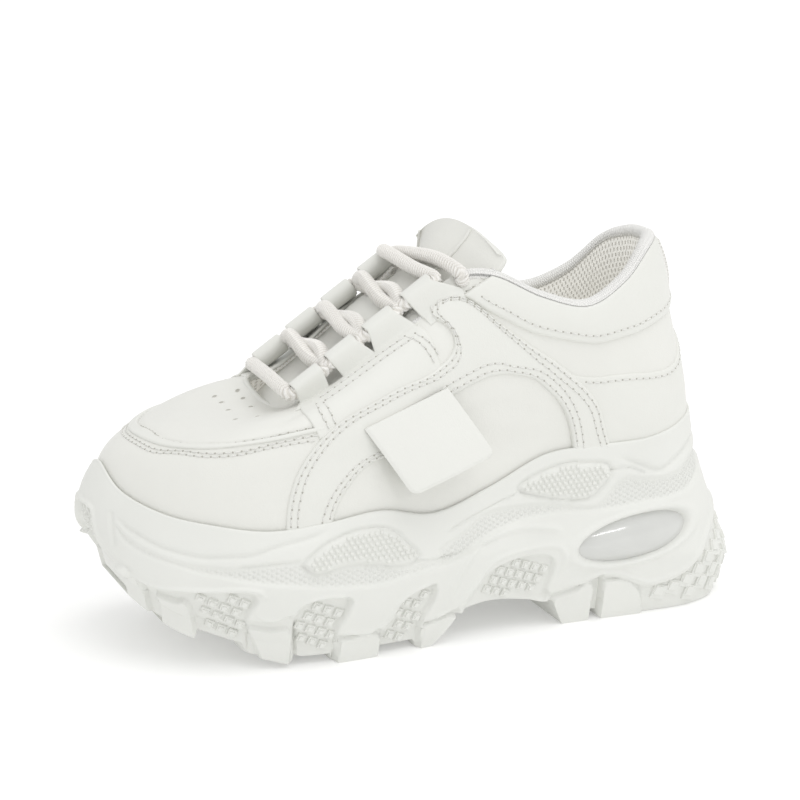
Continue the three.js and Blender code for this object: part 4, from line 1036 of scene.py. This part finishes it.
inside, low = [centred(cup_in[0], 1.0), *cup_in, top_in, *lip], side_points[-1]
rows = np.array([*inside, *side_points, centred(low, 0.3), centred(low, 1.0)])
marks = np.zeros(rows.shape[:2])
marks[len(inside):len(inside) + len(z)] = texture
charted = np.stack([np.broadcast_to(np.interp(folded_rib(around), ruled, arc), marks.shape), rows[..., 2]], -1)
made("midsole_cup", [grid(rows)], moulded_foam, "sole", ["midsole"], uv=charted.reshape(-1, 2), marks=marks.ravel(),
     sharp=60)

# ------------------------------------------------------------------ outsole
# Rubber tread under the ball and under the heel, with lugs whose gaps run in from each side.
GAPS_FRONT = [(2.62, 3.52), (4.47, 5.2), (6.07, 6.72)]  # ribs at each gap's two sides
GAPS_HEEL = [(9.86, 10.03)]
GAP_DEPTH = 3.2


def tread_body(first, final, toe, gaps):
    """Sections across the sole from one rib to another. Each goes down the lateral side, across the floor and up the
    medial side. The floor slopes up to the top at an end that isn't the toe or the back of the heel, and the gaps
    lift it outside the middle strip."""
    u = np.linspace(first, final, int((final - first) * 34))[:, None]
    top, ground = at(SOLE["low"], u), np.maximum(0, at(SOLE["tread"], u))
    if toe:
        ground = ground + (top - ground) * np.clip((u - (final - 0.45)) / 0.45, 0, 1)
    else:
        ground = ground + (top - ground) * (1 - np.clip((u - first) / 0.2, 0, 1))
    gap = sum(smooth(a - 0.03, a + 0.03, u) * (1 - smooth(b - 0.03, b + 0.03, u)) for a, b in gaps)
    floor = np.minimum(ground + GAP_DEPTH * gap, top)
    share = np.linspace(0, 1, 24)[None]
    z = top * (1 - share) + floor * share
    lateral, medial = moulded(u, z), moulded(RIBS - u, z)
    closed = 0 if toe else -1  # the row at the toe's tip or the back of the heel, where the two sides meet
    lateral[closed] = medial[closed] = (lateral[closed] + medial[closed]) / 2
    q = np.linspace(0, 1, 46)[None, 1:-1, None]
    across = lateral[:, -1:] * (1 - q) + medial[:, -1:] * q
    across[..., 2] = ground + (floor - ground) * smooth(12, 15, np.abs(across[..., 0]))
    over = np.linspace(0, 1, 8)[None, 1:-1, None]
    plate = medial[:, :1] * (1 - over) + lateral[:, :1] * over
    points = np.concatenate([lateral, across, medial[:, ::-1], plate], 1)
    points[..., 2] = np.maximum(0, points[..., 2])  # nothing of the tread dips below the floor
    return grid(points)


made("tread_front", [tread_body(0.0, 7.42, True, GAPS_FRONT)], moulded_foam, "tread", ["outsole_front"])
made("tread_heel", [tread_body(9.15, 14.0, False, GAPS_HEEL)], moulded_foam, "tread", ["outsole_heel"])

# ------------------------------------------------------------------ studs, dots and blocks moulded on the sole
# Small repeats: nested square studs in the pockets between lugs, domed dots on the pods, nested blocks round the
# heel's tread and rings on the toe.
SQUARE = np.array([(-1, -1), (0, -1), (1, -1), (1, 0), (1, 1), (0, 1), (-1, 1), (-1, 0)], float)


def stud(half, high):
    """Square stud in two steps: half its width and height, with a smaller square on top."""
    levels = [(0, -0.5), (1, -0.5), (1, 0.1), (0.88, 0.5), (0.56, 0.5), (0.52, 0.86), (0.42, 1), (0, 1)]
    return grid(np.array([np.column_stack([SQUARE * s * half, np.full(8, z * high)]) for s, z in levels]))


def placed(shape, u, z, turn=0.0, sink=0.0):
    """Copies on the moulded side of both sides of the shoe, at ribs u and heights z, turned in the side's plane."""
    bodies = []
    for rib in (u, RIBS - u):
        normal = side_normal(rib, z)
        upwards = unit(np.array([0, 0, 1.0]) - normal[:, 2:] * normal)
        level = np.cross(normal, upwards)
        forward = np.cos(turn) * level + np.sin(turn) * upwards
        bodies.append(scattered(shape, moulded(rib, z, sink), normal, forward))
    return bodies


def filled(field, first, one, other, margin, count=30):
    """Ribs and heights on a slanted lattice that lie inside a field, margin from its edge. The steps one and other
    are in millimetres along the unrolled side and up it, first is a (rib, height) that the lattice passes."""
    i, j = (k.ravel()[:, None] for k in np.meshgrid(np.arange(-count, count), np.arange(-count, count)))
    place = unrolled(np.array(first[0]), np.array(first[1])) + i * np.array(one) + j * np.array(other)
    place = place[beside(place, field, True)[0] > margin]
    return np.interp(place[:, 0], arc, ruled), place[:, 1]


studs = []
POCKET_1 = [(2.62, 31), (3.0, 32.5), (3.55, 32.5), (3.75, 31), (3.7, 27), (3.56, 20), (3.5, 12), (2.68, 17)]
for field, first in (
    (POCKET_1, (3.2, 26)),
    (POCKET_2[:8] + [(5.22, 4.5), (4.45, 6)], (4.9, 19)),
    (POCKET_3[:8] + [(6.7, 4), (6.05, 4)], (6.5, 15)),
):
    u, z = filled(field, first, (4.5, -1.9), (3.3, 3.8), 1.7)
    studs += placed(stud(1.75, 1.15), u, z, 0.4, 0.35)
u, z = filled(ARCH_POCKET[:5] + [(9.05, 20), (8.95, 15.5), (7.75, 15.5)], (8.5, 24), (4.2, -1.5), (2.6, 3.7), 1.5)
studs += placed(stud(1.65, 1.1), u, z, 0.35, 0.35)
made("sole_studs", studs, moulded_foam, "sole", sharp=25)

dome = turned([(0, -0.5), (0.95, -0.5), (0.9, 0.1), (0.7, 0.5), (0.36, 0.74), (0, 0.8)], 8)
dots = []
for field, first in ((POD_FRONT, (5.6, 45)), (POD_BACK, (9.4, 59))):
    u, z = filled(field, first, (2.35, 0.1), (1.17, 1.95), 0.9)
    dots += placed(dome, u, z)
made("pod_dots", dots, moulded_foam, "sole")

# A block with a smaller one on top, set aside towards a corner: half width, height, how far aside.
levels = [(0, -1, 0), (3.2, -1, 0), (3.2, 0.45, 0), (3.0, 0.7, 0), (2.0, 0.7, 0.7), (1.9, 1.15, 0.7),
          (1.7, 1.3, 0.7), (0, 1.3, 0.7)]
bracket = grid(np.array([np.column_stack([SQUARE * r + (aside, -aside), np.full(8, z)]) for r, z, aside in levels]))
blocks = []
for rows in (
    [(11.2, 8.2), (11.6, 9.8), (12.0, 13.8), (12.35, 18.8), (12.75, 23.6), (13.3, 27.6), (13.85, 29.6)],
    [(11.95, 5.4), (12.35, 10.2), (12.75, 15.4), (13.2, 19.6), (13.85, 22)],
    [(12.65, 6.5), (13.15, 11.4), (13.85, 14.3)],
    [(13.3, 5.2), (13.85, 6.6)],
):
    line, _ = curve(rows, 7.3, (RIB_WIDE, 1))
    blocks += placed(bracket, line[:, 0], line[:, 1], 0.3, 0.1)
made("heel_blocks", blocks, moulded_foam, "tread", sharp=25)

theta, phi = np.meshgrid(turns(14), turns(6))
radius = 1.5 + 0.4 * np.cos(phi)
torus = grid(np.stack([radius * np.cos(theta), radius * np.sin(theta), 0.4 * np.sin(phi)], -1), "both")
made("toe_rings", placed(torus, np.repeat([0.12, 0.33], 4), np.tile([54.5, 50.5, 46.5, 42.5], 2)), moulded_foam, "sole")

# ------------------------------------------------------------------ clear inserts
# A glossy, cloudy grey lens bonded into the pocket on each side of the heel. The foam's raised edge frames it.
clear_insert, surface, start, place = material("clear_insert", Specular_IOR_Level=0.6, Coat_Weight=0.8,
                                               Coat_Roughness=0.04)
haze = start.node("ShaderNodeTexNoise", Vector=place, Scale=60.0, Detail=2.0)
finish(surface, haze.tint((0.58, 0.585, 0.565), (0.68, 0.685, 0.66)), 0.14 + haze * 0.06, haze, 0.0002)
SUNK, BULGE, LENS_THICK = 1.9, 2.7, 1.6  # how deep its edge lies, how far its middle stands out, its thickness
radius, angle = np.linspace(0, 1, 16)[:, None], turns(72)[None]
for side, name in ((1, "lateral"), (-1, "medial")):
    p, q = radius * np.cos(angle) * WINDOW["half"], radius * np.sin(angle) * WINDOW["high"]
    c, s = np.cos(WINDOW["slope"]), np.sin(WINDOW["slope"])
    y, z = WINDOW["y"] + c * p - s * q, WINDOW["z"] + s * p + c * q
    rib = np.interp(y, SOLE["y"][:15], np.arange(15.0))
    rib = rib if side > 0 else RIBS - rib
    normal = side_normal(rib, z)
    face = side_face(rib, z) + (-SUNK + BULGE * (1 - radius**2.2) + 0 * angle)[..., None] * normal
    back = face[::-1] - LENS_THICK * normal[::-1]
    if side > 0:  # a point near the lens's front upper edge, and which way it faces, for the strip lamp below
        gleam, facing = face[11, 26] / 1000, unit(np.cross(face[11, 27] - face[11, 25], face[12, 26] - face[10, 26]))
    made(f"insert_{name}", [grid(np.concatenate([face, back]))], clear_insert, "clear_insert", [f"air_window_{name}"])

# ------------------------------------------------------------------ floor, light and camera
# Plain white floor without an end in sight, a soft sun high behind the outer side and white all round.
floor_paper, surface, start, place = material("floor_paper", Specular_IOR_Level=0.0,
                                              Emission_Color=(1, 1, 1, 1), Emission_Strength=0.2)
paper = start.node("ShaderNodeTexNoise", Vector=place, Scale=400.0, Detail=2.0)
finish(surface, paper.tint((0.82, 0.82, 0.815), (0.86, 0.86, 0.855)), 0.9 + paper * 0.05, paper, 0.00002)
mesh = bpy.data.meshes.new("floor")
mesh.from_pydata([(x, y, 0) for x, y in ((-8, -8), (8, -8), (8, 8), (-8, 8))], [], [(0, 1, 2, 3)])
mesh.materials.append(floor_paper)
floor = bpy.data.objects.new("floor", mesh)
bpy.context.scene.collection.objects.link(floor)

scene = bpy.context.scene
scene.view_settings.view_transform = "Standard"
world = bpy.data.worlds.new("white_room")
world.use_nodes = True
world.node_tree.nodes["Background"].inputs["Color"].default_value = (1, 1, 1, 1)
world.node_tree.nodes["Background"].inputs["Strength"].default_value = 0.82
scene.world = world
key = bpy.data.lights.new("key", "SUN")
key.energy, key.angle = 0.94, 0.9
lamp = bpy.data.objects.new("key", key)
lamp.rotation_euler = Vector((-0.3, -0.15, -0.95)).to_track_quat("-Z", "Y").to_euler()
scene.collection.objects.link(lamp)

camera = bpy.data.objects.new("camera", bpy.data.cameras.new("camera"))
camera.data.lens, camera.data.sensor_width = 108, 36
camera.location = (0.8508, -0.3438, 0.3179)
back, right, upwards = Vector((0.896, -0.362, 0.259)), Vector((0.375, 0.927, 0)), Vector((-0.240, 0.097, 0.966))
camera.rotation_euler = (-back - 0.00833 * right + 0.01583 * upwards).to_track_quat("-Z", "Y").to_euler()
scene.collection.objects.link(camera)
scene.camera = camera

# A strip of a lamp where the lens's front upper corner mirrors it.
view = unit(gleam - np.array(camera.location))
mirrored = view - 2 * (view @ facing) * facing
strip = bpy.data.lights.new("strip", "AREA")
strip.shape, strip.size, strip.size_y, strip.energy = "RECTANGLE", 0.2, 0.04, 0.3
strip_lamp = bpy.data.objects.new("strip", strip)
strip_lamp.location = gleam + 0.9 * mirrored
strip_lamp.rotation_euler = Vector(-mirrored).to_track_quat("-Z", "Y").to_euler()
scene.collection.objects.link(strip_lamp)
